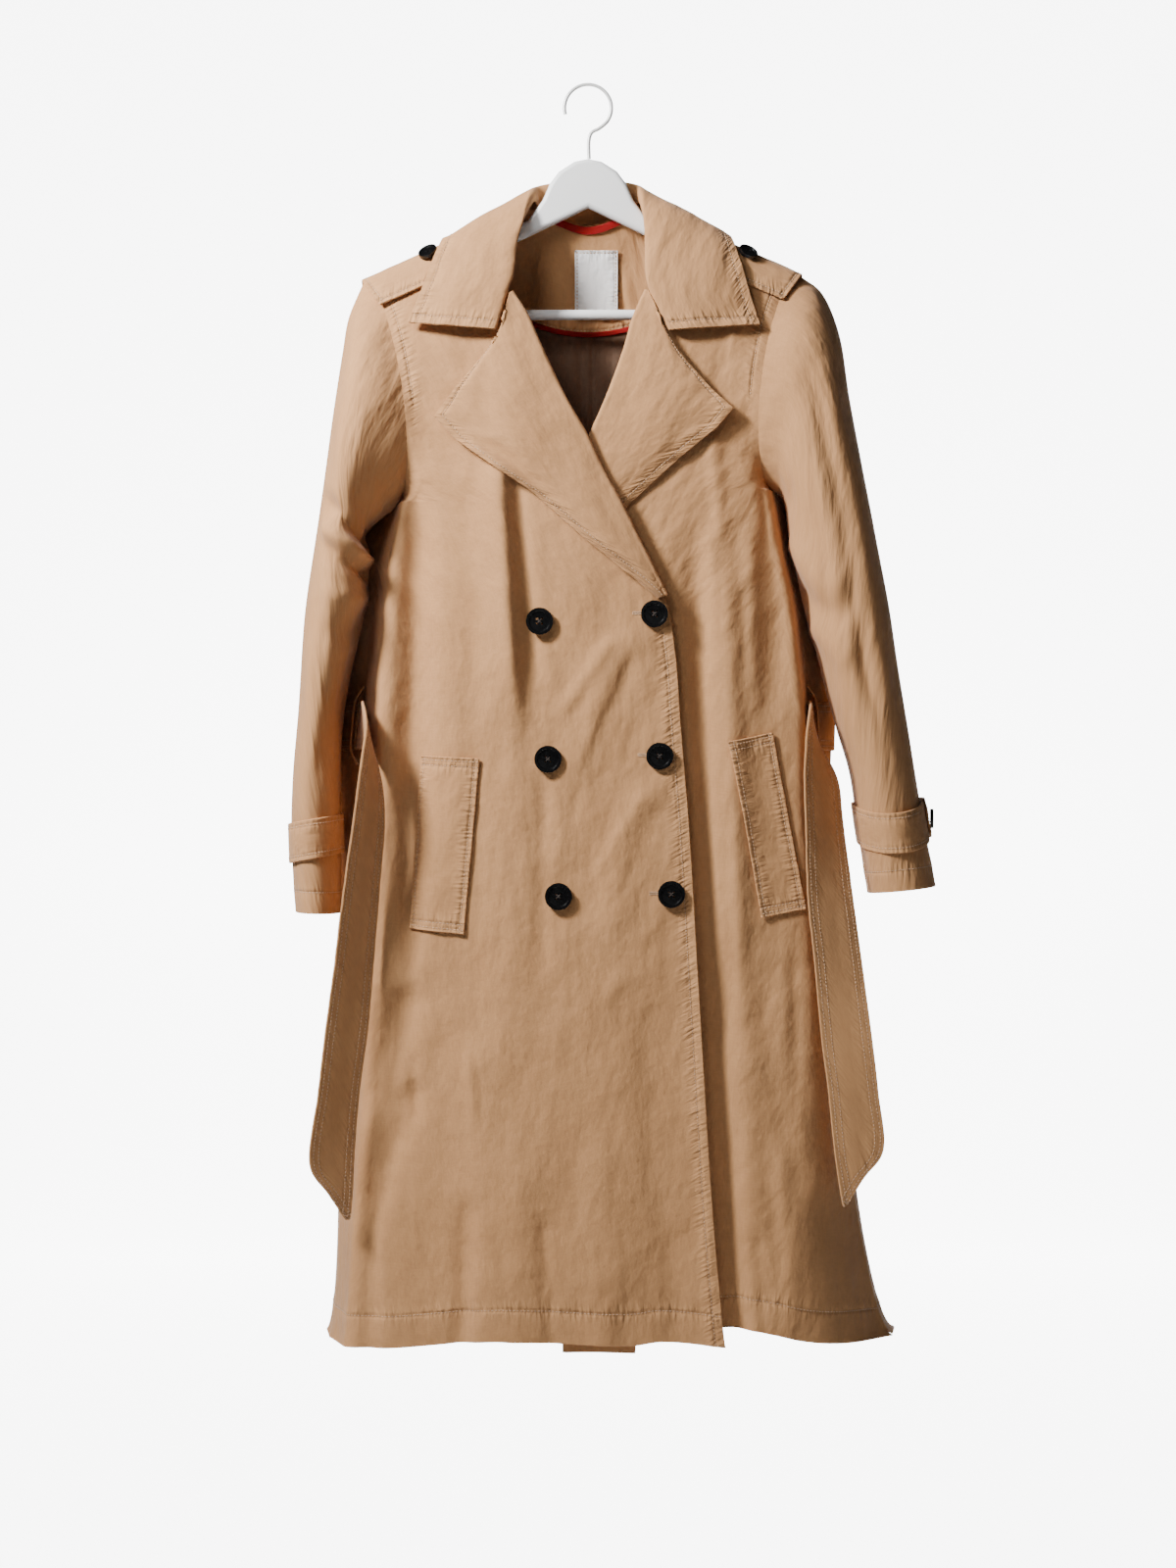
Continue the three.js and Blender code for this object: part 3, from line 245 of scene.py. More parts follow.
class ButtonPlace(NamedTuple):
    """A front button and the half whose name it bears."""

    node: str
    x: float
    z: float


class Hold(Enum):
    """How a piece of cloth is held."""

    HUNG = "hung"
    DRAPED = "draped"
    FOLDED = "folded"
    LAID = "laid"


SIDES = {
    Half.LEFT: Side(-1, 58, -118, 217.5, -190, 186, -406, 24, 12, 42, 34),
    Half.RIGHT: Side(1, 54, -118, 206, -184, 181, -394, 28, 12, 42, 34),
}

POCKETS = {
    Half.LEFT: Welt((-157.4, -650, -103.3, -653), (-169.3, -814, -118.1, -818.6)),
    Half.RIGHT: Welt((134.2, -637, 175.3, -628), (164.8, -803, 206.8, -795)),
}

CUFF_STRAPS = {
    Half.LEFT: Strap(-717, -705, 0, 37, -60),
    Half.RIGHT: Strap(-692, -694, 12, 37, -8),
}

FRONT_BUTTONS = (
    ButtonPlace("button_left_1", -46, -522),
    ButtonPlace("button_right_1", 63, -515),
    ButtonPlace("button_left_2", -38, -653),
    ButtonPlace("button_right_2", 68, -650),
    ButtonPlace("button_left_3", -28, -783),
    ButtonPlace("button_right_3", 79, -781),
)

HANG = (
    Hang(0, 0, 0),
    Hang(5, 10, 9),
    Hang(20, 19, 16),
    Hang(44, 28, 23),
    Hang(74, 35, 28),
    Hang(107, 40, 32),
    Hang(250, 47, 42),
    Hang(400, 53, 50),
    Hang(600, 59, 56),
    Hang(800, 66, 61),
    Hang(1020, 78, 70),
)

FLANKS = {
    Half.LEFT: (
        Flank(-406, 179, 186, 190, 8),
        Flank(-440, 183, 202, 211, 9),
        Flank(-490, 189, 209, 223, 9),
        Flank(-535, 194, 213, 231, 9),
        Flank(-583, 198, 216, 237, 9),
        Flank(-640, 199, 221, 243, 9),
        Flank(-800, 205, 230, 245, 11),
        Flank(-920, 212, 236, 246, 12),
        Flank(-1085, 225, 243, 249, 12),
        Flank(-1210, 230, 251, 259, 12),
    ),
    Half.RIGHT: (
        Flank(-394, 174, 182, 188, 8),
        Flank(-452, 184, 193, 206, 9),
        Flank(-504, 194, 204, 219, 9),
        Flank(-555, 200, 210, 230, 9),
        Flank(-605, 206, 213, 234, 9),
        Flank(-660, 206, 216, 234, 9),
        Flank(-770, 213, 224, 237, 12),
        Flank(-863, 220, 235, 246, 16),
        Flank(-955, 225, 249, 259, 22),
        Flank(-1058, 229, 267, 275, 36),
        Flank(-1210, 234, 296, 305, 48),
    ),
}

FREE_EDGES = {
    Half.LEFT: (
        EdgePlace(-118, -58),
        EdgePlace(-135, -68),
        EdgePlace(-160, -73),
        EdgePlace(-188, -76),
        EdgePlace(-212, -75.5),
        EdgePlace(-258, -52.5),
        EdgePlace(-309, -28.5),
        EdgePlace(-343, -9.5),
        EdgePlace(-378, 7.5),
        EdgePlace(-413, 26),
        EdgePlace(-460, 48.5),
        EdgePlace(-500, 72.5),
        EdgePlace(-550, 82.5),
        EdgePlace(-621, 88),
        EdgePlace(-706, 95.5),
        EdgePlace(-816, 103),
        EdgePlace(-1010, 117),
        EdgePlace(-1109, 125),
        EdgePlace(-1206, 130),
    ),
    Half.RIGHT: (
        EdgePlace(-118, 54),
        EdgePlace(-135, 60),
        EdgePlace(-160, 62),
        EdgePlace(-200, 62),
        EdgePlace(-231, 48.5),
        EdgePlace(-277, 34),
        EdgePlace(-320, 17),
        EdgePlace(-342, 7),
        EdgePlace(-403, -17),
        EdgePlace(-452, -37),
        EdgePlace(-500, -58),
        EdgePlace(-530, -63),
        EdgePlace(-770, -70),
        EdgePlace(-955, -82),
        EdgePlace(-1190, -92),
    ),
}

LAP = (
    Lap(-118, 0),
    Lap(-200, 4),
    Lap(-300, 9),
    Lap(-420, 10),
    Lap(-500, 9),
    Lap(-580, 7),
    Lap(-1206, 7),
)

FOLDS = {
    Half.LEFT: (
        Fold(-168, -340, -172, -900, 12, 14, -9),
        Fold(-86, -330, -68, -660, 11, 34, 8),
        Fold(-170, -860, -214, -1010, 20, 16, -9),
        Fold(-160, -950, -216, -1110, 14, 22, -6),
        Fold(40, -520, -20, -700, 20, 16, 4),
        Fold(62, -660, 10, -860, 20, 16, 4),
        Fold(-110, -900, -100, -1206, 26, 20, 6),
        Fold(60, -850, 84, -1206, 24, 34, -5),
    ),
    Half.RIGHT: (
        Fold(118, -400, 132, -900, 10, 30, 6),
        Fold(172, -260, 184, -620, 14, 12, -5),
        Fold(140, -900, 160, -1206, 12, 34, 6),
        Fold(190, -820, 214, -1206, 18, 18, 4),
    ),
}

HEM_LINES = {
    Half.LEFT: (
        HemPlace(-256, -1212),
        HemPlace(-231, -1210),
        HemPlace(-187, -1210),
        HemPlace(-117, -1204),
        HemPlace(-79, -1202),
        HemPlace(40, -1206),
        HemPlace(70, -1203),
        HemPlace(130, -1208),
    ),
    Half.RIGHT: (
        HemPlace(-92, -1186),
        HemPlace(130, -1190),
        HemPlace(172, -1196),
        HemPlace(205, -1204),
        HemPlace(240, -1208),
        HemPlace(300, -1210),
    ),
}

SLEEVES = {
    Half.LEFT: (
        Ring(231.8, -225, 190, -412, 54, -2, 15),
        Ring(237.5, -258, 203, -422, 61, -4, 8),
        Ring(246, -315, 215, -437, 65, -7, 3),
        Ring(253.6, -372, 211, -452, 66, -9, 0),
        Ring(260, -420, 212, -478, 65, -10, 0),
        Ring(268.8, -486, 217.5, -520, 63, -12, 0),
        Ring(274.6, -543, 228, -565, 61, -12, 0),
        Ring(279.3, -610, 237.5, -622, 58, -12, 0),
        Ring(285, -676, 239.4, -680, 55, -12, 0),
        Ring(286, -730, 238.4, -732, 53, -12, 0),
        Ring(282, -799, 238, -800, 51, -12, 0),
    ),
    Half.RIGHT: (
        Ring(228, -203, 191, -399, 54, -2, 18),
        Ring(244, -244, 192, -414, 61, -4, 10),
        Ring(252.7, -301, 194, -439, 65, -6, 4),
        Ring(264, -363, 201, -472, 66, -8, 0),
        Ring(274.6, -420, 210, -513, 65, -10, 0),
        Ring(286, -486, 219.4, -545, 63, -12, 0),
        Ring(295.4, -545, 229, -584, 61, -12, 0),
        Ring(305, -602, 240, -622, 58, -12, 0),
        Ring(314.4, -659, 252.7, -665, 55, -12, 0),
        Ring(324, -716, 260, -718, 53, -12, 0),
        Ring(335.3, -774, 269.8, -781, 51, -12, 0),
    ),
}

LAPELS = {
    Half.LEFT: (
        Leaf(-71, -205, -83, -241, 7),
        Leaf(-66, -213, -91.5, -256, 8),
        Leaf(-58, -226, -103.6, -271.5, 9),
        Leaf(-44, -258, -126.8, -298, 10),
        Leaf(-20, -309, -146.3, -326, 11),
        Leaf(-1, -342, -126.7, -347.5, 9),
        Leaf(16, -378, -91.3, -373.6, 7),
        Leaf(32, -407, -50, -402, 6),
        Leaf(48, -440, 0, -446, 6),
        Leaf(65, -474, 46.5, -483, 6),
        Leaf(76, -496, 66, -500, 6),
    ),
    Half.RIGHT: (
        Leaf(54, -203, 74, -241, 7),
        Leaf(49, -214, 84, -257, 8),
        Leaf(42, -231, 94, -273, 9),
        Leaf(33, -262, 118, -299, 10),
        Leaf(20, -298, 138, -318, 11),
        Leaf(11, -320, 123, -336, 9),
        Leaf(1, -342, 97, -357, 7),
        Leaf(-9, -368, 73, -378, 5),
        Leaf(-22, -400, 37, -412, 3),
        Leaf(-40, -445, -8, -452, 3),
        Leaf(-57, -488, -46, -490, 3),
    ),
}

COLLAR = {
    Half.LEFT: (
        Station((-87, -52, -243), (-172, -43, -234.5), -90, 0, 3, 3),
        Station((-82, -49, -226), (-165, -40, -217), -90, 0, 3, 4),
        Station((-77, -46, -207), (-158.5, -37, -200), -90, 0, 3, 4),
        Station((-71, -40, -188), (-152, -30, -180), -90, 0, 3, 5),
        Station((-68, -31, -158), (-145.6, -22, -161), -95, 5, 4, 5),
        Station((-63, -24, -137), (-141, -10, -149), -120, 35, 6, 5),
        Station((-58, -11, -113), (-139, 4, -146), -150, 65, 9, 5),
        Station((-54, 0, -100), (-134, 15, -154), 180, 85, 11, 5),
        Station((-49, 13, -95), (-118, 27, -167), 155, 90, 22, 4),
        Station((-38, 19, -91), (-84, 34, -176), 120, 90, 34, 3),
        Station((-19, 23, -88.5), (-42, 37, -180), 100, 90, 40, 3),
    ),
    "middle": (
        Station((0, 24, -88), (0, 38, -181), 90, 90, 42, 3),
    ),
    Half.RIGHT: (
        Station((77, -47, -243), (164.5, -41, -236.5), -90, 0, 3, 3),
        Station((68, -45, -226), (160, -37, -222), -90, 0, 3, 4),
        Station((59, -42, -206), (155.6, -37, -208), -90, 0, 3, 4),
        Station((55, -38, -188), (151, -34, -190), -90, 0, 3, 5),
        Station((54.5, -30, -158), (146, -27, -171), -95, 5, 4, 5),
        Station((54, -23, -137), (141, -14, -151), -120, 35, 6, 5),
        Station((53, -11, -114), (138, 3, -143), -150, 65, 9, 5),
        Station((52, 0, -101), (132, 15, -149), 180, 85, 11, 5),
        Station((48, 13, -94), (117, 27, -162), 155, 90, 22, 4),
        Station((38, 19, -90), (84, 34, -174), 120, 90, 34, 3),
        Station((19, 23, -88.5), (42, 37, -180), 100, 90, 40, 3),
    ),
}

BELT_ENDS = {
    Half.LEFT: (
        BeltSpan(-220, -1.5, -597, -223.8, -1.5, -643),
        BeltSpan(-217, -20, -597, -219.5, -16, -643),
        BeltSpan(-214, -55, -600, -212, -38, -643),
        BeltSpan(-209, -84, -622, -202, -53, -655),
        BeltSpan(-213, -97, -660, -196, -58, -680),
        BeltSpan(-220, -95, -709, -194, -59, -715),
        BeltSpan(-230, -93, -780, -199, -60, -783),
        BeltSpan(-238, -93, -846, -204, -63, -848),
        BeltSpan(-246, -94, -906, -209, -67, -908),
        BeltSpan(-253, -97, -967, -217, -69, -969),
        BeltSpan(-260, -99, -1036, -222, -73, -1038),
        BeltSpan(-244, -90, -1062, -223, -75, -1064),
        BeltSpan(-229, -80, -1087, -225, -78, -1087),
    ),
    Half.RIGHT: (
        BeltSpan(215.2, -1.5, -597, 218.3, -1.5, -643),
        BeltSpan(214, -22, -597, 217.5, -12, -643),
        BeltSpan(212, -46, -604, 223, -18, -646),
        BeltSpan(208, -56, -630, 232, -22, -656),
        BeltSpan(206, -58, -667, 240, -26, -675),
        BeltSpan(207, -60, -715, 244.5, -32, -717),
        BeltSpan(209, -63, -785, 253, -43, -787),
        BeltSpan(215, -66, -845, 260.5, -50, -846),
        BeltSpan(222, -69, -920, 269.5, -62, -921),
        BeltSpan(228, -72, -968, 275, -64, -970),
        BeltSpan(233, -75, -1020, 279, -67, -1025),
        BeltSpan(237, -76, -1050, 260, -72, -1050),
        BeltSpan(241, -77, -1075, 244, -76, -1075),
    ),
}

HANGER_TOP = (
    Outline(0, -71),
    Outline(13, -73.5),
    Outline(28, -83),
    Outline(37, -95),
    Outline(44, -111),
    Outline(58, -130.5),
    Outline(100, -146.5),
    Outline(150, -167),
    Outline(200, -187.6),
    Outline(210, -193),
)

HANGER_FOOT = (
    Outline(214, -199),
    Outline(214, -224),
    Outline(210, -231),
    Outline(198, -231),
    Outline(197, -214),
    Outline(188, -203),
    Outline(150, -186),
    Outline(100, -164),
    Outline(60, -147),
)

# Small folds that show in the cloth between the large ones
FINE_FOLDS = {
    Half.LEFT: (
        Fold(-88, -335, -66, -640, 9, 10, 3.6),
        Fold(-72, -350, -46, -620, 9, 15, -5.4),
        Fold(-128, -420, -122, -800, 16, 18, 4.0),
        Fold(-150, -380, -152, -820, 7, 9, -3.2),
        Fold(28, -530, -36, -625, 7, 8, 2.4),
        Fold(46, -545, -10, -680, 7, 9, -2.4),
        Fold(58, -675, -2, -780, 7, 8, 2.0),
        Fold(66, -690, 16, -820, 8, 9, -1.8),
        Fold(64, -800, 10, -900, 8, 9, 1.2),
        Fold(-40, -640, -46, -900, 8, 10, -2.8),
        Fold(-168, -930, -160, -1010, 4, 6, -2.8),
        Fold(-114, -925, -108, -1000, 4, 6, 2.4),
        Fold(-112, -1060, -120, -1206, 9, 9, -4.2),
        Fold(-62, -1020, -66, -1206, 16, 14, 3.0),
        Fold(10, -1000, 14, -1206, 18, 20, 3.2),
        Fold(-20, -850, -80, -990, 12, 12, -1.3),
        Fold(-204, -1020, -206, -1206, 8, 10, -4.0),
        Fold(96, -600, 116, -1206, 4, 9, 1.8),
        Fold(-44, -1080, -34, -1206, 8, 9, -2.6),
        Fold(-110, -270, -120, -420, 9, 12, 2.4),
        Fold(-158, -370, -166, -900, 9, 14, -7.0),
    ),
    Half.RIGHT: (
        Fold(100, -420, 141, -1206, 13, 15, -8.0),
        Fold(132, -440, 150, -1000, 8, 12, 3.4),
        Fold(154, -420, 160, -640, 8, 8, 3.0),
        Fold(166, -260, 172, -480, 6, 8, -2.6),
        Fold(196, -830, 200, -1000, 8, 8, -3.4),
        Fold(180, -1000, 196, -1206, 9, 9, 3.4),
        Fold(224, -1060, 246, -1206, 8, 10, -4.4),
        Fold(160, -1100, 166, -1206, 8, 8, -3.2),
        Fold(136, -200, 150, -330, 7, 9, 2.6),
        Fold(118, -330, 128, -460, 7, 9, 2.6),
    ),
}

# Creases of the sleeves: ring and turn at each end, width along the ring and the turn, and height
SLEEVE_CREASES = {
    Half.LEFT: (
        (3.6, 0.95, 4.6, 0.30, 0.26, 0.09, -7.5),
        (4.4, 0.98, 5.0, 0.36, 0.20, 0.09, 6.0),
        (4.9, 0.96, 5.3, 0.42, 0.16, 0.09, -6.5),
        (5.5, 0.94, 5.9, 0.50, 0.18, 0.09, 4.0),
        (6.2, 0.90, 6.6, 0.50, 0.25, 0.10, -3.2),
        (2.0, 0.85, 3.2, 0.45, 0.40, 0.10, 2.4),
        (7.4, 0.86, 8.6, 0.62, 0.35, 0.09, -1.8),
        (8.4, 0.30, 9.8, 0.42, 0.40, 0.09, 1.4),
        (9.0, 0.70, 10.4, 0.80, 0.40, 0.09, 1.4),
    ),
    Half.RIGHT: (
        (2.2, 0.80, 4.6, 0.62, 0.60, 0.10, -4.0),
        (3.4, 0.92, 5.2, 0.60, 0.30, 0.10, 4.0),
        (4.6, 0.92, 5.8, 0.62, 0.26, 0.10, -4.4),
        (5.6, 0.90, 6.6, 0.66, 0.26, 0.10, 3.2),
        (2.0, 0.42, 7.0, 0.50, 0.90, 0.07, -4.2),
        (3.0, 0.30, 7.0, 0.36, 0.90, 0.08, 3.0),
        (7.0, 0.52, 9.8, 0.44, 0.60, 0.09, -1.8),
        (8.2, 0.74, 10.2, 0.68, 0.50, 0.09, 1.6),
    ),
}


def mix(a: Array | float, b: Array | float, t: Array | float) -> Array | float:
    """Returns the value a share t of the way from a to b."""
    return a + (b - a) * t


def ease(t: Array | float) -> Array | float:
    """Returns 0 to 1 with no corner at either end."""
    t = np.clip(t, 0.0, 1.0)
    return t * t * (3.0 - 2.0 * t)


def spot(x: float, y: float, z: float) -> Array:
    """Returns a point in millimetres."""
    return np.array([x, y, z], dtype=float)


def unit(vectors: Array) -> Array:
    """Returns vectors with a length of one."""
    length = np.linalg.norm(vectors, axis=-1, keepdims=True)
    return vectors / np.maximum(length, 1e-9)


class Column:
    """A table's column, read as a smooth curve through its rows."""

    def __init__(self, rows: Sequence[NamedTuple], key: str, name: str) -> None:
        """Reads one column.

        Args:
            rows: The table.
            key: The column that the curve runs along.
            name: The column that it gives.
        """
        ordered = sorted(rows, key=lambda row: getattr(row, key))
        self.keys = np.array([getattr(row, key) for row in ordered], dtype=float)
        self.values = np.array([getattr(row, name) for row in ordered], dtype=float)
        last = len(ordered) - 1
        before = np.maximum(np.arange(last + 1) - 1, 0)
        after = np.minimum(np.arange(last + 1) + 1, last)
        self.slopes = (self.values[after] - self.values[before]) / (self.keys[after] - self.keys[before])

    def __call__(self, at: Array | float) -> Array | float:
        """Returns the column's value at a place along its key."""
        place = np.clip(np.asarray(at, dtype=float), self.keys[0], self.keys[-1])
        i = np.clip(np.searchsorted(self.keys, place, side="right") - 1, 0, len(self.keys) - 2)
        span = self.keys[i + 1] - self.keys[i]
        t = (place - self.keys[i]) / span
        rise = self.values[i + 1] - self.values[i]
        out, into = self.slopes[i] * span, self.slopes[i + 1] * span
        return self.values[i] + t * (out + t * (3 * rise - 2 * out - into + t * (out + into - 2 * rise)))


class Unevenness:
    """Smooth seeded noise over a plane, for the folds that no table lists."""

    def __init__(self, seed: int, wide: float, high: float) -> None:
        """Makes the noise.

        Args:
            seed: The seed.
            wide: The width of one lump.
            high: The height of one lump.
        """
        self.grid = np.random.default_rng(seed).uniform(-1.0, 1.0, (64, 64))
        self.wide, self.high = wide, high

    def __call__(self, x: Array, z: Array) -> Array:
        """Returns the noise at places, from -1 to 1."""
        u = np.asarray(x) / self.wide + 640.0
        v = np.asarray(z) / self.high + 640.0
        i, j = np.floor(u).astype(int), np.floor(v).astype(int)
        s, t = ease(u - i), ease(v - j)
        corner = lambda a, b: self.grid[(i + a) % 64, (j + b) % 64]
        return mix(mix(corner(0, 0), corner(1, 0), s), mix(corner(0, 1), corner(1, 1), s), t)


class SplinePath:
    """A smooth curve through points, each stretch timed by the root of its length."""

    def __init__(self, points: Array) -> None:
        """Keeps the points and one more beyond each end.

        Args:
            points: Points, of shape (count, ..., 3).
        """
        points = np.asarray(points, dtype=float)
        self.points = np.concatenate([[2 * points[0] - points[1]], points, [2 * points[-1] - points[-2]]])
        self.count = len(points)

    def __call__(self, at: float) -> Array:
        """Returns the curve's point at a share of its points."""
        place = min(max(at, 0.0), 1.0) * (self.count - 1)
        i = min(int(place), self.count - 2)
        t = place - i
        p0, p1, p2, p3 = self.points[i : i + 4]
        step = lambda a, b: np.maximum(np.sqrt(np.linalg.norm(b - a, axis=-1, keepdims=True)), 1e-4)
        d0, d1, d2 = step(p0, p1), step(p1, p2), step(p2, p3)
        out = ((p1 - p0) / d0 - (p2 - p0) / (d0 + d1) + (p2 - p1) / d1) * d1
        into = ((p2 - p1) / d1 - (p3 - p1) / (d1 + d2) + (p3 - p2) / d2) * d1
        rise = p2 - p1
        return p1 + t * (out + t * (3 * rise - 2 * out - into + t * (out + into - 2 * rise)))


class Seam(NamedTuple):
    """A line of stitches beside an edge: its inset and the shares of the edge between which it runs."""

    edge: str
    inset: float
    start: float = 0.0
    stop: float = 1.0


class Cloth:
    """A sheet of cloth: rows of points on its outer face, with a normal at each."""

    def __init__(self, points: Array, outward: Array) -> None:
        """Works out the sheet's normals and its lengths across and down.

        Args:
            points: Points of shape (rows, columns, 3), in millimetres.
            outward: A direction that the middle of the outer face looks in.
        """
        self.points = np.array(points, dtype=float)
        self.outward = outward
        self.seams: list[Seam] = []
        self.refresh()

    def refresh(self) -> None:
        """Works out normals and lengths again after the points have moved."""
        p = self.points
        quad = np.cross(p[1:, 1:] - p[:-1, :-1], p[1:, :-1] - p[:-1, 1:])
        normals = np.zeros_like(p)
        for part in (normals[:-1, :-1], normals[:-1, 1:], normals[1:, :-1], normals[1:, 1:]):
            part += quad
        middle = normals[len(p) // 2, p.shape[1] // 2]
        self.normals = unit(normals if middle @ self.outward > 0 else -normals)
        pad = lambda lengths, axis: np.insert(np.cumsum(lengths, axis=axis), 0, 0.0, axis=axis)
        self.across = pad(np.linalg.norm(np.diff(p, axis=1), axis=2), 1)
        self.down = pad(np.linalg.norm(np.diff(p, axis=0), axis=2), 0)

    def shift(self, heights: Array) -> "Cloth":
        """Moves each point along its normal by a height."""
        self.points = self.points + self.normals * heights[..., None]
        self.refresh()
        return self

    def inset_from(self, edge: str) -> Array:
        """Returns how far each point lies from an edge, along its row or column."""
        return {
            "first": self.across,
            "last": self.across[:, -1:] - self.across,
            "top": self.down,
            "bottom": self.down[-1:, :] - self.down,
        }[edge]

    def sew(self, *seams: Seam) -> "Cloth":
        """Adds lines of stitches."""
        self.seams.extend(seams)
        return self

    def run(self, seam: Seam) -> tuple[Array, Array]:
        """Finds the line that a seam follows.

        Args:
            seam: The seam.

        Returns:
            The points along the line and their normals.
        """
        inset = self.inset_from(seam.edge)
        points, normals = self.points, self.normals
        if seam.edge in ("top", "bottom"):
            inset, points, normals = inset.T, points.transpose(1, 0, 2), normals.transpose(1, 0, 2)
        count = len(points)
        chosen = range(int(seam.start * (count - 1)), int(math.ceil(seam.stop * (count - 1))) + 1)
        order = slice(None, None, -1) if inset[0, 0] > inset[0, -1] else slice(None)
        read = lambda r, values: [np.interp(seam.inset, inset[r][order], values[r][order][:, k]) for k in range(3)]
        line = np.array([read(r, points) for r in chosen])
        return line, unit(np.array([read(r, normals) for r in chosen]))

    def nearness(self) -> Array:
        """Returns each point's distance to the nearest seam down the cloth and the nearest across it."""
        rows, columns = self.points.shape[:2]
        found = np.full((rows, columns, 3), 60.0)
        for seam in self.seams:
            along = seam.edge in ("first", "last")
            shares = np.linspace(0, 1, rows)[:, None] if along else np.linspace(0, 1, columns)[None, :]
            off = np.maximum(np.maximum(seam.start - shares, shares - seam.stop), 0.0) * 400.0
            away = np.abs(self.inset_from(seam.edge) - seam.inset) + off
            k = 0 if along else 1
            found[..., k] = np.minimum(found[..., k], away)
        return found

    def pucker(self, seed: int, height: float, length: float = 11.0, reach: float = 9.0) -> "Cloth":
        """Draws the cloth up in small waves beside its seams.

        Args:
            seed: The seed of the waves.
            height: The waves' height.
            length: The length of one wave along the seam.
            reach: How far from the seam the waves die away.

        Returns:
            The sheet itself.
        """
        near = self.nearness()
        waves = Unevenness(seed, reach * 2.0, length)
        down = waves(self.across, self.down) * np.exp(-((near[..., 0] / reach) ** 2))
        over = waves(self.down, self.across) * np.exp(-((near[..., 1] / reach) ** 2))
        return self.shift(height * (down + over))




class Body:
    """The coat's body and sleeves as surfaces that everything else lies on."""

    def __init__(self) -> None:
        """Reads the tables."""
        self.hang_front = Column(HANG, "drop", "front")
        self.hang_back = Column(HANG, "drop", "back")
        self.lap = Column(LAP, "z", "gap")
        self.broad = Unevenness(11, 46.0, 170.0)
        self.small = Unevenness(12, 17.0, 64.0)

    def shoulder(self, x: Array | float) -> Array | float:
        """Returns the height of the shoulder seam over a place across the coat."""
        x = np.asarray(x, dtype=float)
        left, right = SIDES[Half.LEFT], SIDES[Half.RIGHT]
        drop = lambda side: side.neck_z + (side.tip_z - side.neck_z) * np.maximum(
            (np.abs(x) - side.neck_x) / (side.tip_x - side.neck_x), 0.0
        )
        return np.where(x < 0, drop(left), drop(right))

    @staticmethod
    def fold(fold: Fold, x: Array, z: Array) -> Array:
        """Returns the height of one fold at places on the front."""
        along = (z - fold.z0) / (fold.z1 - fold.z0)
        sign = math.copysign(1.0, fold.x0 or 1.0)
        away = (x - mix(fold.x0, fold.x1, along)) * sign
        width = np.where(away > 0, fold.outer, fold.inner)
        end = 1.0 if fold.z1 < -1200 else ease((1 - along) / 0.3)
        fade = ease(along / 0.18) * end * ((along >= 0) & (along <= 1.0001 if fold.z1 > -1200 else along <= 1.1))
        return fold.height * fade * np.exp(-((away / width) ** 2))

    def front(self, half: Half, x: Array, z: Array) -> Array:
        """Returns y of a front's outer face at places across and up."""
        x, z = np.asarray(x, dtype=float), np.asarray(z, dtype=float)
        drop = self.shoulder(x) - z
        bow = 6 * (x / 200) ** 2 * np.minimum(drop / 200, 1)
        lap = self.lap(z) * ease((x + 120) / 50) if half is Half.LEFT else 0.0
        folds = sum(self.fold(fold, x, z) for fold in (*FOLDS[half], *FINE_FOLDS[half]))
        still = ease(drop / 90)
        uneven = (1.0 * self.broad(x, z) + 0.45 * self.small(x, z)) * still
        return -(self.hang_front(drop) - bow + lap + folds + uneven)

    def back(self, x: Array, z: Array) -> Array:
        """Returns y of the back's outer face at places across and up."""
        x, z = np.asarray(x, dtype=float), np.asarray(z, dtype=float)
        drop = self.shoulder(x) - z
        pleat = 4 * np.cos(x / 26) * ease((-z - 420) / 500)
        neck = NECK_BEHIND * (1 - ease((np.abs(x) - 54) / 16))
        uneven = (1.3 * self.broad(x + 500, z) + 0.5 * self.small(x + 500, z)) * ease((drop - 60) / 120)
        return np.maximum(self.hang_back(drop), neck) - 6 * (x / 220) ** 2 * np.minimum(drop / 200, 1) + pleat + uneven

    @staticmethod
    def armhole(half: Half, turn: Array, face: int) -> Array:
        """Returns points of the armhole seam.

        Args:
            half: The side.
            turn: 0 at the shoulder to 1 at the underarm.
            face: -1 at the front and 1 at the back.

        Returns:
            The points, of shape (count, 3).
        """
        side = SIDES[half]
        angle = np.pi * np.asarray(turn, dtype=float)
        inward = side.front_in if face < 0 else side.back_in
        deep = side.front if face < 0 else side.back
        x = (side.tip_x + side.low_x) / 2 + (side.tip_x - side.low_x) / 2 * np.cos(angle) - inward * np.sin(angle)
        z = (side.tip_z + side.low_z) / 2 + (side.tip_z - side.low_z) / 2 * np.cos(angle)
        y = face * deep * np.sin(angle) * (1 - 0.25 * np.cos(angle))
        return np.stack([side.sign * x, y, z], axis=-1)

    @staticmethod
    def level(side: Side, start: Array, seam: Array, corner_x: float, soft: float, surface: Surface, flats: int) -> Array:
        """Returns one level across a panel, from its inner edge round the corner to the side seam."""
        height = lambda x: mix(start[2], seam[2], (x - start[0]) / (seam[0] - start[0]))
        at = lambda x: np.stack([x, surface(x, height(x)), height(x)], axis=-1)
        begin_x = corner_x - side.sign * soft
        flat = at(np.linspace(start[0], begin_x, flats + 1))
        begin, corner = flat[-1], at(np.array([corner_x]))[0]
        reach = float(np.linalg.norm(corner - seam))
        end = mix(corner, seam, min(0.5, soft / max(reach, 0.01)))
        t = np.linspace(0, 1, 11)[1:, None]
        bend = (1 - t) ** 2 * begin + 2 * t * (1 - t) * corner + t**2 * end
        rest = mix(end, seam, np.linspace(0, 1, 9)[1:, None])
        return np.concatenate([flat, bend, rest])

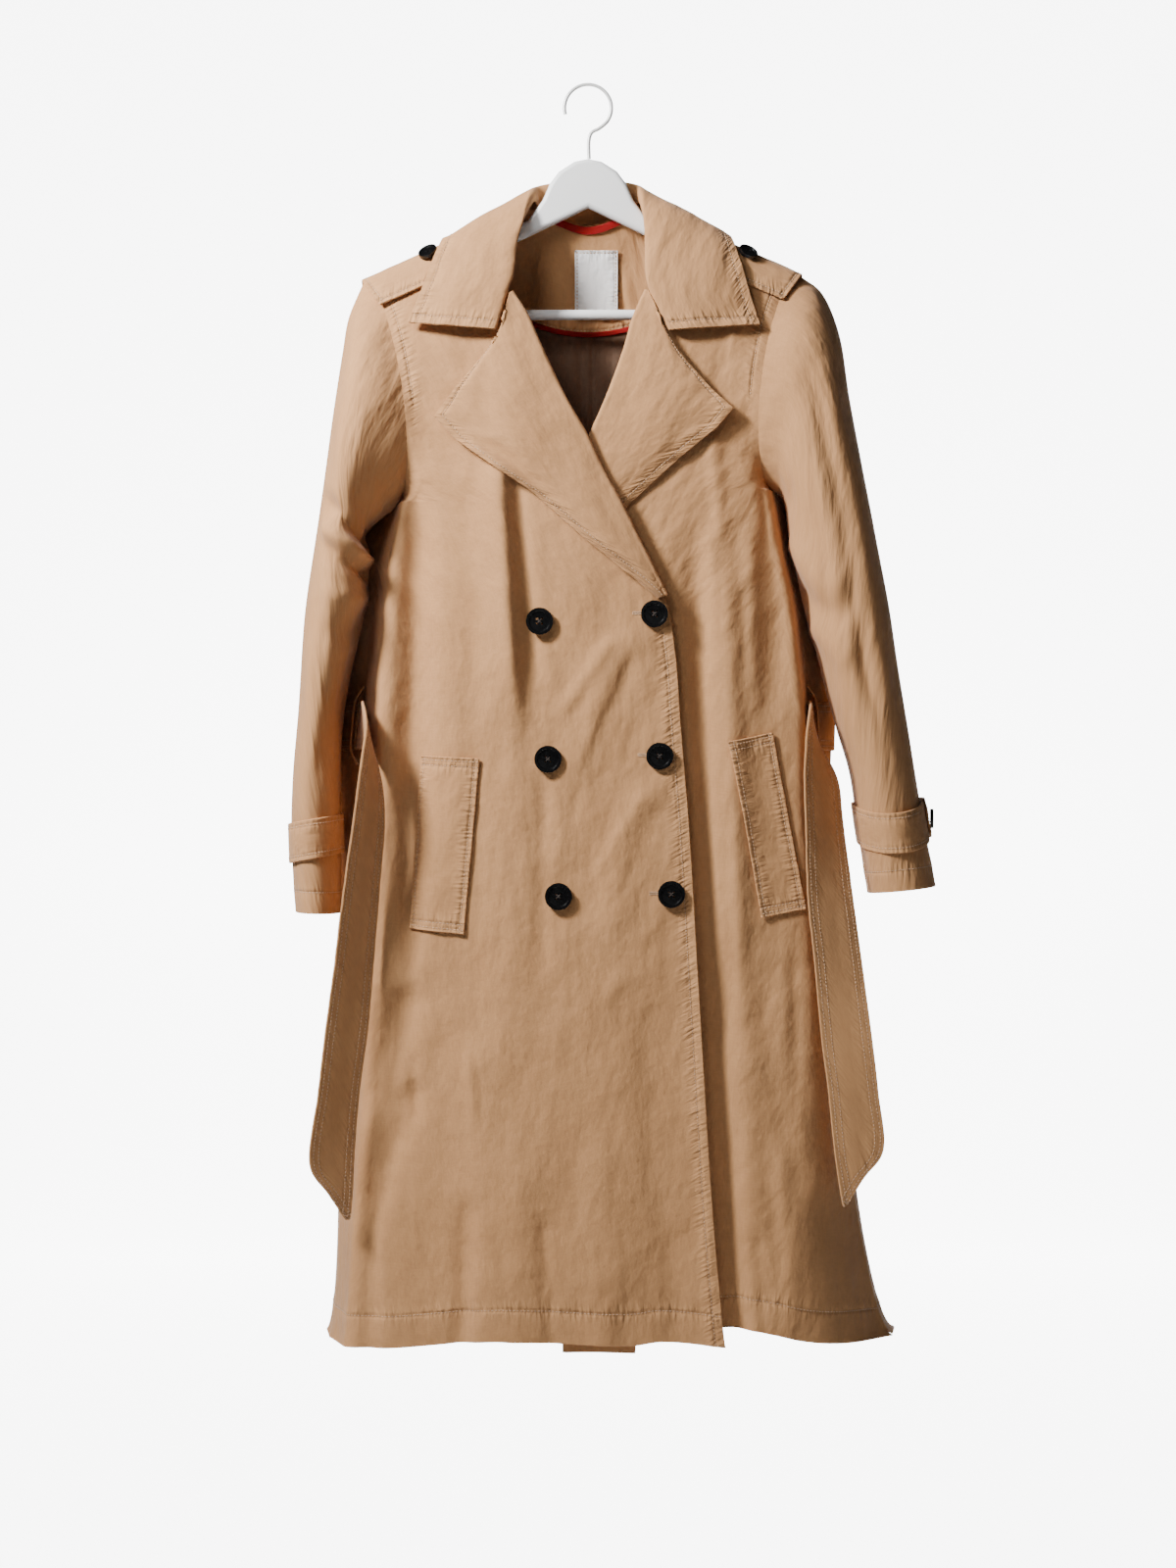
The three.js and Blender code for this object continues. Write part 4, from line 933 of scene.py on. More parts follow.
    @staticmethod
    def back_corner(half: Half) -> Callable[[float], float]:
        """Returns the curve of the back's corner, spread a little where the sleeve hangs before it."""
        corner = Column(FLANKS[half], "z", "back")

        def spread(z: float) -> float:
            """Returns the corner's distance from the middle at a height."""
            high, low = ((z + 465.0) / 80.0) ** 2, ((z + 630.0) / 75.0) ** 2
            under = 10.0 * math.exp(-(((z + 434.0) / 30.0) ** 2)) if half is Half.LEFT else 0.0
            return float(corner(z)) + 12.0 * math.exp(-high) + 8.0 * math.exp(-low) + under

        return spread

    def rows(
        self, half: Half, face: int, inner: Callable[[float, float], Array], surface: Surface, hem: Surface, flats: int
    ) -> Array:
        """Returns a panel's points: the first rows end on the armhole, the rest on the side seam.

        Args:
            half: The side.
            face: -1 at the front and 1 at the back.
            inner: Gives the inner edge's point from a share down to the underarm and a height.
            surface: Gives y from x and z.
            hem: Gives the hem's height from x.
            flats: The number of columns before the corner.

        Returns:
            Points of shape (rows, columns, 3).
        """
        side, flank = SIDES[half], FLANKS[half]
        seam_x = Column(flank, "z", "seam")
        corner_x = Column(flank, "z", "corner") if face < 0 else self.back_corner(half)
        soft = Column(flank, "z", "soft")
        found = []
        for turn in np.linspace(0, 1, ARM_ROWS + 1):
            seam = self.armhole(half, turn, face)
            round_share = (1 - math.cos(math.pi * turn)) / 2
            start = inner(mix(round_share, turn, turn), side.low_z)
            offset = mix(15, side.low_x - float(corner_x(side.low_z)), float(ease(turn * 2 - 1)))
            found.append(self.level(side, start, seam, seam[0] - side.sign * offset, mix(24, 8, turn), surface, flats))
        for t in np.linspace(0, 1, SKIRT_ROWS + 1)[1:]:
            even = mix(side.low_z, HEM_FRONT, t)
            x = side.sign * float(seam_x(even))
            seam = spot(x, 0, mix(even, float(hem(x)), t**4))
            start = inner(1, even)
            start[2] = mix(even, float(hem(start[0])), t**4)
            row = self.level(side, start, seam, side.sign * float(corner_x(even)), float(soft(even)), surface, flats)
            row[:, 2] = mix(even, hem(row[:, 0]), t**4)
            found.append(row)
        return np.array(found)

    def front_cloth(self, half: Half) -> Cloth:
        """Cuts a front, from its free edge to the side seam."""
        side = SIDES[half]
        edge_x = Column(FREE_EDGES[half], "z", "x")
        hem = Column(HEM_LINES[half], "x", "z")

        def inner(down: float, level: float) -> Array:
            """Returns the free edge's point."""
            z = mix(side.neck_z, level, down)
            return spot(float(edge_x(z)), 0, z)

        surface = lambda x, z: self.front(half, x, z)
        return Cloth(self.rows(half, -1, inner, surface, hem, 84), spot(0, -1, 0))

    @staticmethod
    def neckline(x: Array | float) -> Array | float:
        """Returns the height of the back's neckline, lowest in the middle."""
        return SIDES[Half.LEFT].neck_z - NECK_DIP * (1 - ease(np.abs(x) / 56))

    def back_cloth(self, half: Half) -> Cloth:
        """Cuts one half of the back, from the centre seam to the side seam, with the open vent at its foot."""
        side = SIDES[half]
        top = float(self.neckline(CENTRE_BACK))
        inner = lambda down, level: spot(CENTRE_BACK, 0, mix(top, level, down))
        side_hem = next(row.z for row in HEM_LINES[half] if row.x * side.sign > 230)
        seam_x = FLANKS[half][-1].seam
        hem = lambda x: mix(HEM_BACK, side_hem, ease((np.abs(x) - 120) / (seam_x - 120)))
        flats = 44
        rows = self.rows(half, 1, inner, self.back, hem, flats)
        for r in range(ARM_ROWS):
            row = rows[r]
            x = row[: flats + 1, 0].copy()
            high = np.where(np.abs(x) < side.neck_x, self.neckline(x), self.shoulder(x))
            straight = mix(top, side.tip_z, (x - CENTRE_BACK) / (row[-1, 0] - CENTRE_BACK))
            row[: flats + 1, 2] += (high - straight) * (1 - r / ARM_ROWS)
            row[: flats + 1, 1] = self.back(x, row[: flats + 1, 2])
        rows[:, 0, 0] += side.sign * 3 * np.clip((VENT_TOP - rows[:, 0, 2]) / 350, 0, 1)
        return Cloth(rows, spot(0, 1, 0))

    @staticmethod
    def sleeve_point(half: Half, ring: float, turn: Array, face: int) -> Array:
        """Returns points round a sleeve.

        Args:
            half: The side.
            ring: Counts from the armhole to the cuff.
            turn: 0 on the outside to 1 underneath.
            face: -1 at the front and 1 at the back.

        Returns:
            The points, of shape (count, 3).
        """
        side, rings = SIDES[half], SLEEVES[half]
        turn = np.asarray(turn, dtype=float)
        angle = np.pi * turn

        def at(number: int) -> Array:
            """Returns the points of one whole ring."""
            if number == 0:
                return Body.armhole(half, turn, face)
            row = rings[number - 1]
            bend = row.bend * np.sin(angle) * (1 if face < 0 else 0.5)
            x = (row.out_x + row.in_x) / 2 + (row.out_x - row.in_x) / 2 * np.cos(angle) - bend
            z = (row.out_z + row.in_z) / 2 + (row.out_z - row.in_z) / 2 * np.cos(angle)
            return np.stack([side.sign * x, row.y + face * row.deep * np.sin(angle), z], axis=-1)

        i = min(int(ring), len(rings) - 1)
        t = ring - i
        p0, p1, p2, p3 = at(max(i - 1, 0)), at(i), at(i + 1), at(min(i + 2, len(rings)))
        out = (p2 - p0) / 2 if i > 0 else p2 - p1
        into = (p3 - p1) / 2 if i + 2 <= len(rings) else p2 - p1
        rise = p2 - p1
        return p1 + t * (out + t * (3 * rise - 2 * out - into + t * (out + into - 2 * rise)))

    def sleeve_cloth(self, half: Half, face: int) -> Cloth:
        """Cuts one half of a sleeve, creased as it hangs."""
        turns = np.linspace(0, 1, 41)
        rings = np.linspace(0, len(SLEEVES[half]), 150)
        cloth = Cloth(np.array([self.sleeve_point(half, ring, turns, face) for ring in rings]), spot(0, face, 0))
        turn, ring = np.meshgrid(turns, rings)
        heights = np.zeros_like(turn)
        for r0, t0, r1, t1, wide, deep, height in SLEEVE_CREASES[half]:
            along = np.clip(((ring - r0) * (r1 - r0) + (turn - t0) * (t1 - t0) * 16) / ((r1 - r0) ** 2 + (t1 - t0) ** 2 * 16), 0, 1)
            off = np.hypot((ring - mix(r0, r1, along)) / wide, (turn - mix(t0, t1, along)) / deep)
            heights += height * np.exp(-(off**2))
        if face > 0:
            heights *= 0.6
        uneven = 1.1 * self.broad(turn * 170, ring * 60 + 900 * face) + 0.6 * self.small(turn * 150, ring * 60 + 700)
        still = ease(ring / 0.8) * ease((len(SLEEVES[half]) - ring) / 0.6 + 0.25)
        seams = ease(turn / 0.05) * ease((1 - turn) / 0.05)
        return cloth.shift((heights + uneven) * still * seams)


class Value:
    """A shader value that Python's own signs work on."""

    def __init__(self, shader: "Shader", socket: bpy.types.NodeSocket) -> None:
        """Wraps a socket of a shader."""
        self.shader, self.socket = shader, socket

    def _math(self, operation: str, *others: "Value | float") -> "Value":
        """Returns a Math node's result."""
        return self.shader.node("ShaderNodeMath", {"operation": operation}, dict(enumerate(others)))

    def __add__(self, other: "Value | float") -> "Value":
        """Returns the sum."""
        return self._math("ADD", self, other)

    __radd__ = __add__

    def __mul__(self, other: "Value | float") -> "Value":
        """Returns the product."""
        return self._math("MULTIPLY", self, other)

    __rmul__ = __mul__

    def __sub__(self, other: "Value | float") -> "Value":
        """Returns the difference."""
        return self._math("SUBTRACT", self, other)

    def __rsub__(self, other: "Value | float") -> "Value":
        """Returns the other value less this one."""
        return self._math("SUBTRACT", other, self)

    def __truediv__(self, other: "Value | float") -> "Value":
        """Returns the quotient."""
        return self._math("DIVIDE", self, other)

    def __pow__(self, other: "Value | float") -> "Value":
        """Returns the power."""
        return self._math("POWER", self, other)

    def sine(self) -> "Value":
        """Returns the sine."""
        return self._math("SINE", self)

    def bell(self, width: float) -> "Value":
        """Returns 1 at zero, falling smoothly to 0 beyond a width."""
        share = self / width
        return self._math("EXPONENT", share * share * -1.0)

    def clamp(self) -> "Value":
        """Returns the value kept between 0 and 1."""
        return self.shader.node("ShaderNodeClamp", {}, {0: self})


class Shader:
    """A material in the making."""

    def __init__(self, name: str) -> None:
        """Makes an empty material with one surface shader.

        Args:
            name: The material's name.
        """
        self.material = bpy.data.materials.new(name)
        self.material.use_nodes = True
        self.tree = self.material.node_tree
        self.surface = next(n for n in self.tree.nodes if n.type == "BSDF_PRINCIPLED")

    def node(self, kind: str, settings: dict, inputs: dict, output: int | str = 0) -> Value:
        """Adds a node.

        Args:
            kind: The node's type.
            settings: Its settings, with a colour ramp's stops under "stops".
            inputs: Values or links for its sockets, by name or number.
            output: The socket to return.

        Returns:
            The chosen output.
        """
        node = self.tree.nodes.new(kind)
        for name, value in settings.items():
            if name == "stops":
                ramp = node.color_ramp
                while len(ramp.elements) < len(value):
                    ramp.elements.new(0.5)
                for element, (place, colour) in zip(ramp.elements, value):
                    element.position, element.color = place, (*colour, 1.0)
            else:
                setattr(node, name, value)
        for key, value in inputs.items():
            self.feed(node.inputs[key], value)
        return Value(self, node.outputs[output])

    def feed(self, socket: bpy.types.NodeSocket, value: object) -> None:
        """Links a value to a socket, or sets the socket to it."""
        if isinstance(value, Value):
            self.tree.links.new(value.socket, socket)
        elif isinstance(value, tuple) and len(value) == 3 and socket.type == "RGBA":
            socket.default_value = (*value, 1.0)
        else:
            socket.default_value = value

    def noise(self, vector: Value, scale: float, detail: float = 2.0, rough: float = 0.5) -> Value:
        """Returns noise about zero, from about -0.5 to 0.5."""
        inputs = {"Vector": vector, "Scale": scale, "Detail": detail, "Roughness": rough}
        return self.node("ShaderNodeTexNoise", {}, inputs) - 0.5

    def ridges(self, vector: Value, scale: float) -> Value:
        """Returns noise with sharp ridges, for pressed creases."""
        settings = {"noise_type": "RIDGED_MULTIFRACTAL"}
        inputs = {"Vector": vector, "Scale": scale, "Detail": 2.0, "Roughness": 0.4, "Offset": 1.0, "Gain": 1.0}
        return self.node("ShaderNodeTexNoise", settings, inputs)

    def blend(self, share: Value | float, first: object, second: object) -> Value:
        """Returns a colour between two."""
        settings = {"data_type": "RGBA", "clamp_factor": True}
        return self.node("ShaderNodeMix", settings, {0: share, 6: first, 7: second}, 2)

    def vector(self, x: Value | float, y: Value | float, z: Value | float = 0.0) -> Value:
        """Returns a vector of three values."""
        return self.node("ShaderNodeCombineXYZ", {}, {0: x, 1: y, 2: z})

    def parts(self, vector: Value) -> list[Value]:
        """Returns a vector's three values."""
        node = self.tree.nodes.new("ShaderNodeSeparateXYZ")
        self.feed(node.inputs[0], vector)
        return [Value(self, output) for output in node.outputs]

    def bump(self, height: Value, distance: float = MM) -> None:
        """Raises the surface by a height in millimetres."""
        normal = self.node("ShaderNodeBump", {}, {"Strength": 1.0, "Distance": distance, "Height": height})
        self.feed(self.surface.inputs["Normal"], normal)

    def finish(self, **values: object) -> bpy.types.Material:
        """Sets the surface's sockets and returns the material."""
        for name, value in values.items():
            self.feed(self.surface.inputs[name.replace("_", " ").title().replace("Ior", "IOR")], value)
        return self.material


@dataclass(frozen=True)
class Fabric:
    """A woven cloth: its colours, the pitch of its twill and how strongly its seams pucker."""

    name: str
    light: tuple[float, float, float]
    dark: tuple[float, float, float]
    pitch: float = 0.9
    puckers: float = 1.0
    creases: float = 1.0
    roughness: float = 0.86
    sheen: float = 0.12

    def build(self) -> bpy.types.Material:
        """Makes the material."""
        s = Shader(self.name)
        uv = s.node("ShaderNodeUVMap", {"uv_map": "cloth"}, {})
        u, v, _ = s.parts(uv)
        across, down = u * 1000.0, v * 1000.0
        near = s.node("ShaderNodeAttribute", {"attribute_name": "stitch"}, {}, "Vector")
        near_down, near_across, _ = s.parts(near)
        twill = ((across + down * 0.5) * (2 * math.pi / self.pitch)).sine() * 0.008
        slub = s.noise(s.vector(across * 0.6, down * 0.12), 1.0, 2.0) + s.noise(s.vector(across * 0.12, down * 0.6), 1.0, 2.0)
        crease = s.noise(s.vector(across * 0.03, down * 0.012), 1.0, 1.6, 0.45) * (4.2 * self.creases)
        crumple = s.noise(s.vector(across * 0.1, down * 0.05), 1.0, 2.0, 0.5) * (1.05 * self.creases)
        press = s.noise(s.vector(across * 0.05 + down * 0.012, down * 0.036), 1.0, 2.5, 0.55) * (1.8 * self.creases)
        sharp = s.ridges(s.vector(across * 0.016 + down * 0.004, down * 0.009 - across * 0.003), 1.0)
        crease = crease + press + sharp * (0.55 * self.creases)
        along = s.noise(s.vector(across * 0.055, down * 0.26), 1.0, 1.0)
        over = s.noise(s.vector(across * 0.26, down * 0.055), 1.0, 1.0)
        gather = near_down.bell(8.0) * along + near_across.bell(8.0) * over
        groove = near_down.bell(1.9) + near_across.bell(1.9)
        height = twill + slub * 0.03 + crease + crumple + gather * (2.5 * self.puckers) - groove * (0.8 * self.puckers)
        s.bump(height)
        mottle = s.noise(s.vector(across * 0.02, down * 0.012), 1.0, 4.0, 0.6)
        # The pucker waves (gather) also lighten the colour on their crests, a painted highlight; slub and mottle are
        # the cloth's own tone.
        thread = slub * 0.5 + mottle * 0.7 + gather * 0.35
        shade = (0.5 + thread).clamp()
        colour = s.blend(shade, self.dark, self.light)
        # Lighter within a few millimetres of each stitch line, and lighter on the pucker crests as a painted highlight.
        seam_band_and_pucker_highlight = ((near_down.bell(6.0) + near_across.bell(6.0)) * 0.3 + gather * 0.9).clamp()
        colour = s.blend(seam_band_and_pucker_highlight, colour, tuple(min(1.0, c * 1.16) for c in self.light))
        # Darker along each stitch groove: painted shade in the groove.
        colour = s.blend((groove * 0.26).clamp(), colour, tuple(c * 0.45 for c in self.dark))
        rough = slub * 0.1 + self.roughness
        return s.finish(base_color=colour, roughness=rough, sheen_weight=self.sheen, sheen_roughness=0.5, specular_ior_level=0.18)


@dataclass(frozen=True)
class ThreadFinish:
    """Sewing thread with its twist."""

    name: str
    light: tuple[float, float, float]
    dark: tuple[float, float, float]

    def build(self) -> bpy.types.Material:
        """Makes the material."""
        s = Shader(self.name)
        place = s.node("ShaderNodeTexCoord", {}, {}, "Object")
        x, y, z = s.parts(place)
        twist = ((x + y + z) * (2 * math.pi / 0.0007)).sine()
        wander = s.noise(place, 60.0, 2.0)
        s.bump(twist * 0.04)
        colour = s.blend((0.5 + wander + twist * 0.08).clamp(), self.dark, self.light)
        return s.finish(base_color=colour, roughness=0.6, sheen_weight=0.2, specular_ior_level=0.3)


@dataclass(frozen=True)
class Moulded:
    """A hard finish: moulded plastic, paint or wire, with its fine unevenness."""

    name: str
    colour: tuple[float, float, float]
    second: tuple[float, float, float]
    roughness: float
    metallic: float = 0.0
    coat: float = 0.0
    grain: float = 0.01
    scale: float = 400.0
    stretch: tuple[float, float, float] = (1.0, 1.0, 1.0)

    def build(self) -> bpy.types.Material:
        """Makes the material."""
        s = Shader(self.name)
        place = s.node("ShaderNodeTexCoord", {}, {}, "Object")
        sized = s.node("ShaderNodeVectorMath", {"operation": "MULTIPLY"}, {0: place, 1: self.stretch})
        fine = s.noise(sized, self.scale, 3.0)
        broad = s.noise(sized, self.scale * 0.08, 2.0)
        s.bump(fine * self.grain + broad * self.grain * 3.0)
        colour = s.blend((0.5 + fine * 0.5 + broad * 0.8).clamp(), self.colour, self.second)
        rough = (self.roughness + broad * 0.12 + fine * 0.06).clamp()
        return s.finish(base_color=colour, roughness=rough, metallic=self.metallic, coat_weight=self.coat, coat_roughness=0.2)


class Finish(Enum):
    """The finishes of the coat and its hanger."""

    TWILL = Fabric("tan_twill", (0.58, 0.307, 0.138), (0.42, 0.207, 0.086))
    BELT = Fabric("tan_twill_belt", (0.58, 0.307, 0.138), (0.42, 0.207, 0.086), puckers=0.3, creases=0.4)
    LINING = Fabric("brown_lining", (0.25, 0.15, 0.095), (0.17, 0.095, 0.058), 0.6, 0.6, 1.0, 0.55, 0.05)
    RED = Fabric("red_tape", (0.36, 0.006, 0.007), (0.24, 0.003, 0.004), 1.2, 0.4, 0.3, 0.7, 0.1)
    LABEL = Fabric("bare_label", (0.95, 0.93, 0.91), (0.88, 0.85, 0.82), 0.7, 0.6, 0.6, 0.7, 0.1)
    THREAD = ThreadFinish("tan_thread", (0.68, 0.44, 0.27), (0.52, 0.32, 0.18))
    DARK_THREAD = ThreadFinish("dark_thread", (0.05, 0.03, 0.02), (0.02, 0.013, 0.01))
    BUTTON = Moulded("black_button", (0.001, 0.001, 0.0012), (0.003, 0.003, 0.0033), 0.24, coat=0.1, grain=0.008)
    WOOD = Moulded("white_paint", (0.93, 0.928, 0.92), (0.97, 0.968, 0.96), 0.42, coat=0.15, grain=0.02, scale=90.0, stretch=(0.2, 1.0, 1.0))
    WIRE = Moulded("pale_wire", (0.78, 0.775, 0.76), (0.86, 0.855, 0.84), 0.38, metallic=0.25, coat=0.2, grain=0.006, scale=700.0)

    def material(self) -> bpy.types.Material:
        """Returns the finish's material, made when it is first asked for."""
        return bpy.data.materials.get(self.value.name) or self.value.build()


class SewingRoom:
    """Turns sheets into meshes and sews lines of stitches."""

    BODY = "root"

    @staticmethod
    def mesh(name: str, points: Array, faces: Sequence, finish: Finish) -> bpy.types.Object:
        """Makes a mesh object at the origin.

        Args:
            name: The object's name.
            points: Its points, in millimetres.
            faces: Its faces, as tuples of point numbers.
            finish: Its finish.

        Returns:
            The object, smooth except at its sharp rims.
        """
        data = bpy.data.meshes.new(name)
        data.from_pydata((np.asarray(points) * MM).tolist(), [], faces)
        data.materials.append(finish.material())
        piece = bpy.data.objects.new(name, data)
        bpy.context.collection.objects.link(piece)
        SewingRoom.smooth(piece, 50)
        return piece

    @staticmethod
    def smooth(piece: bpy.types.Object, angle: float) -> None:
        """Shades a piece smooth, except at edges sharper than an angle in degrees."""
        bpy.ops.object.select_all(action="DESELECT")
        piece.select_set(True)
        bpy.context.view_layer.objects.active = piece
        bpy.ops.object.shade_smooth_by_angle(angle=math.radians(angle))
        piece.select_set(False)

    @staticmethod
    def carry(piece: bpy.types.Object, slot: str) -> None:
        """Makes a piece ride on the coat."""
        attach(piece, SewingRoom.BODY)

    def wall(self, name: str, cloth: Cloth, outer: float, inner: float, finish: Finish) -> bpy.types.Object:
        """Gives a sheet its thickness, with a rounded rim.

        Args:
            name: The object's name.
            cloth: The sheet.
            outer: How far outside the sheet the outer face lies.
            inner: How far outside it the inner face lies, negative where it lies under it.
            finish: The finish.

        Returns:
            The object.
        """
        p, n = cloth.points, cloth.normals
        rows, columns = p.shape[:2]
        number = np.arange(rows * columns).reshape(rows, columns)
        loop = np.concatenate([number[0, :-1], number[:-1, -1], number[-1, :0:-1], number[:0:-1, 0]])
        within = np.concatenate([number[1, :-1], number[:-1, -2], number[-2, :0:-1], number[:0:-1, 1]])
        flat_p, flat_n = p.reshape(-1, 3), n.reshape(-1, 3)
        away = unit(flat_p[loop] - flat_p[within])
        rim = flat_p[loop] + flat_n[loop] * (outer + inner) / 2 + away * (outer - inner) * 0.35
        points = np.concatenate([flat_p + flat_n * outer, flat_p + flat_n * inner, rim])
        under, edge = rows * columns, 2 * rows * columns
        a, b, c, d = number[:-1, :-1].ravel(), number[1:, :-1].ravel(), number[1:, 1:].ravel(), number[:-1, 1:].ravel()
        after = np.roll(loop, -1)
        ring = edge + np.arange(len(loop))
        ring_after = np.roll(ring, -1)
        faces = np.concatenate([
            np.stack([a, b, c, d], 1),
            np.stack([a, d, c, b], 1) + under,
            np.stack([loop, after, ring_after, ring], 1),
            np.stack([ring, ring_after, after + under, loop + under], 1),
        ])
        corner = points[faces]
        volume = np.einsum("ij,ij->i", corner[:, 0], np.cross(corner[:, 1], corner[:, 2])).sum()
        volume += np.einsum("ij,ij->i", corner[:, 0], np.cross(corner[:, 2], corner[:, 3])).sum()
        faces = faces[:, ::-1] if volume < 0 else faces
        piece = self.mesh(name, points, faces.tolist(), finish)
        source = np.concatenate([number.ravel(), number.ravel(), loop])
        uv = np.stack([cloth.across.ravel(), cloth.down.ravel()], 1)[source] * MM
        near = cloth.nearness().reshape(-1, 3)[source]
        data = piece.data
        corners = np.empty(len(data.loops), dtype=int)
        data.loops.foreach_get("vertex_index", corners)
        data.uv_layers.new(name="cloth").data.foreach_set("uv", uv[corners].ravel())
        stitch = data.attributes.new("stitch", "FLOAT_VECTOR", "POINT")
        stitch.data.foreach_set("vector", near.ravel())
        return piece

    def threads(self, name: str, stitches: Sequence[tuple[Array, Array, Array]], long: float, thick: float, finish: Finish) -> bpy.types.Object:
        """Makes many stitches as one mesh.

        Args:
            name: The object's name.
            stitches: Middles, directions and normals of the stitches, as arrays.
            long: The length of a stitch.
            thick: Half its width.
            finish: The thread's finish.

        Returns:
            The object.
        """
        middle = np.concatenate([s[0] for s in stitches])
        along = unit(np.concatenate([s[1] for s in stitches]))
        normal = unit(np.concatenate([s[2] for s in stitches]))
        side = np.cross(normal, along)
        shape = [(-0.5, 0, -0.5)]
        for end in (-0.3, 0.3):
            shape += [(end, 1, 0), (end, 0, 0.9), (end, -1, 0), (end, 0, -0.9)]
        shape.append((0.5, 0, -0.5))
        points = np.stack(
            [middle + along * a * long + side * b * thick + normal * c * thick for a, b, c in shape], axis=1
        )
        faces = [(0, 2, 1), (0, 3, 2), (0, 4, 3), (0, 1, 4)]
        faces += [(1, 2, 6, 5), (2, 3, 7, 6), (3, 4, 8, 7), (4, 1, 5, 8)]
        faces += [(9, 5, 6), (9, 6, 7), (9, 7, 8), (9, 8, 5)]
        everything = [tuple(10 * i + k for k in face) for i in range(len(middle)) for face in faces]
        piece = self.mesh(name, points.reshape(-1, 3), everything, finish)
        self.carry(piece, "twill")
        return piece

    @staticmethod
    def spaced(line: Array, normals: Array, pitch: float, lift: float = 0.1) -> tuple[Array, Array, Array]:
        """Sets stitches out along a line.

        Args:
            line: Points of the line.
            normals: The cloth's normals there.
            pitch: The distance from one stitch to the next.
            lift: How far a stitch stands off the cloth.

        Returns:
            Middles, directions and normals.
        """
        lengths = np.insert(np.cumsum(np.linalg.norm(np.diff(line, axis=0), axis=1)), 0, 0.0)
        places = np.arange(pitch / 2, lengths[-1], pitch)
        read = lambda values, at: np.stack([np.interp(at, lengths, values[:, k]) for k in range(3)], axis=1)
        middle, normal = read(line, places), unit(read(normals, places))
        along = read(line, places + 1.0) - read(line, np.maximum(places - 1.0, 0.0))
        return middle + normal * lift, unit(along), normal

    def stitches(self, name: str, cloth: Cloth, outer: float = 0.0, pitch: float = 3.4) -> bpy.types.Object:
        """Sews a sheet's own seams."""
        found = []
        for seam in cloth.seams:
            line, normals = cloth.run(seam)
            found.append(self.spaced(line + normals * outer, normals, pitch))
        return self.threads(name, found, 2.5, 0.42, Finish.THREAD)


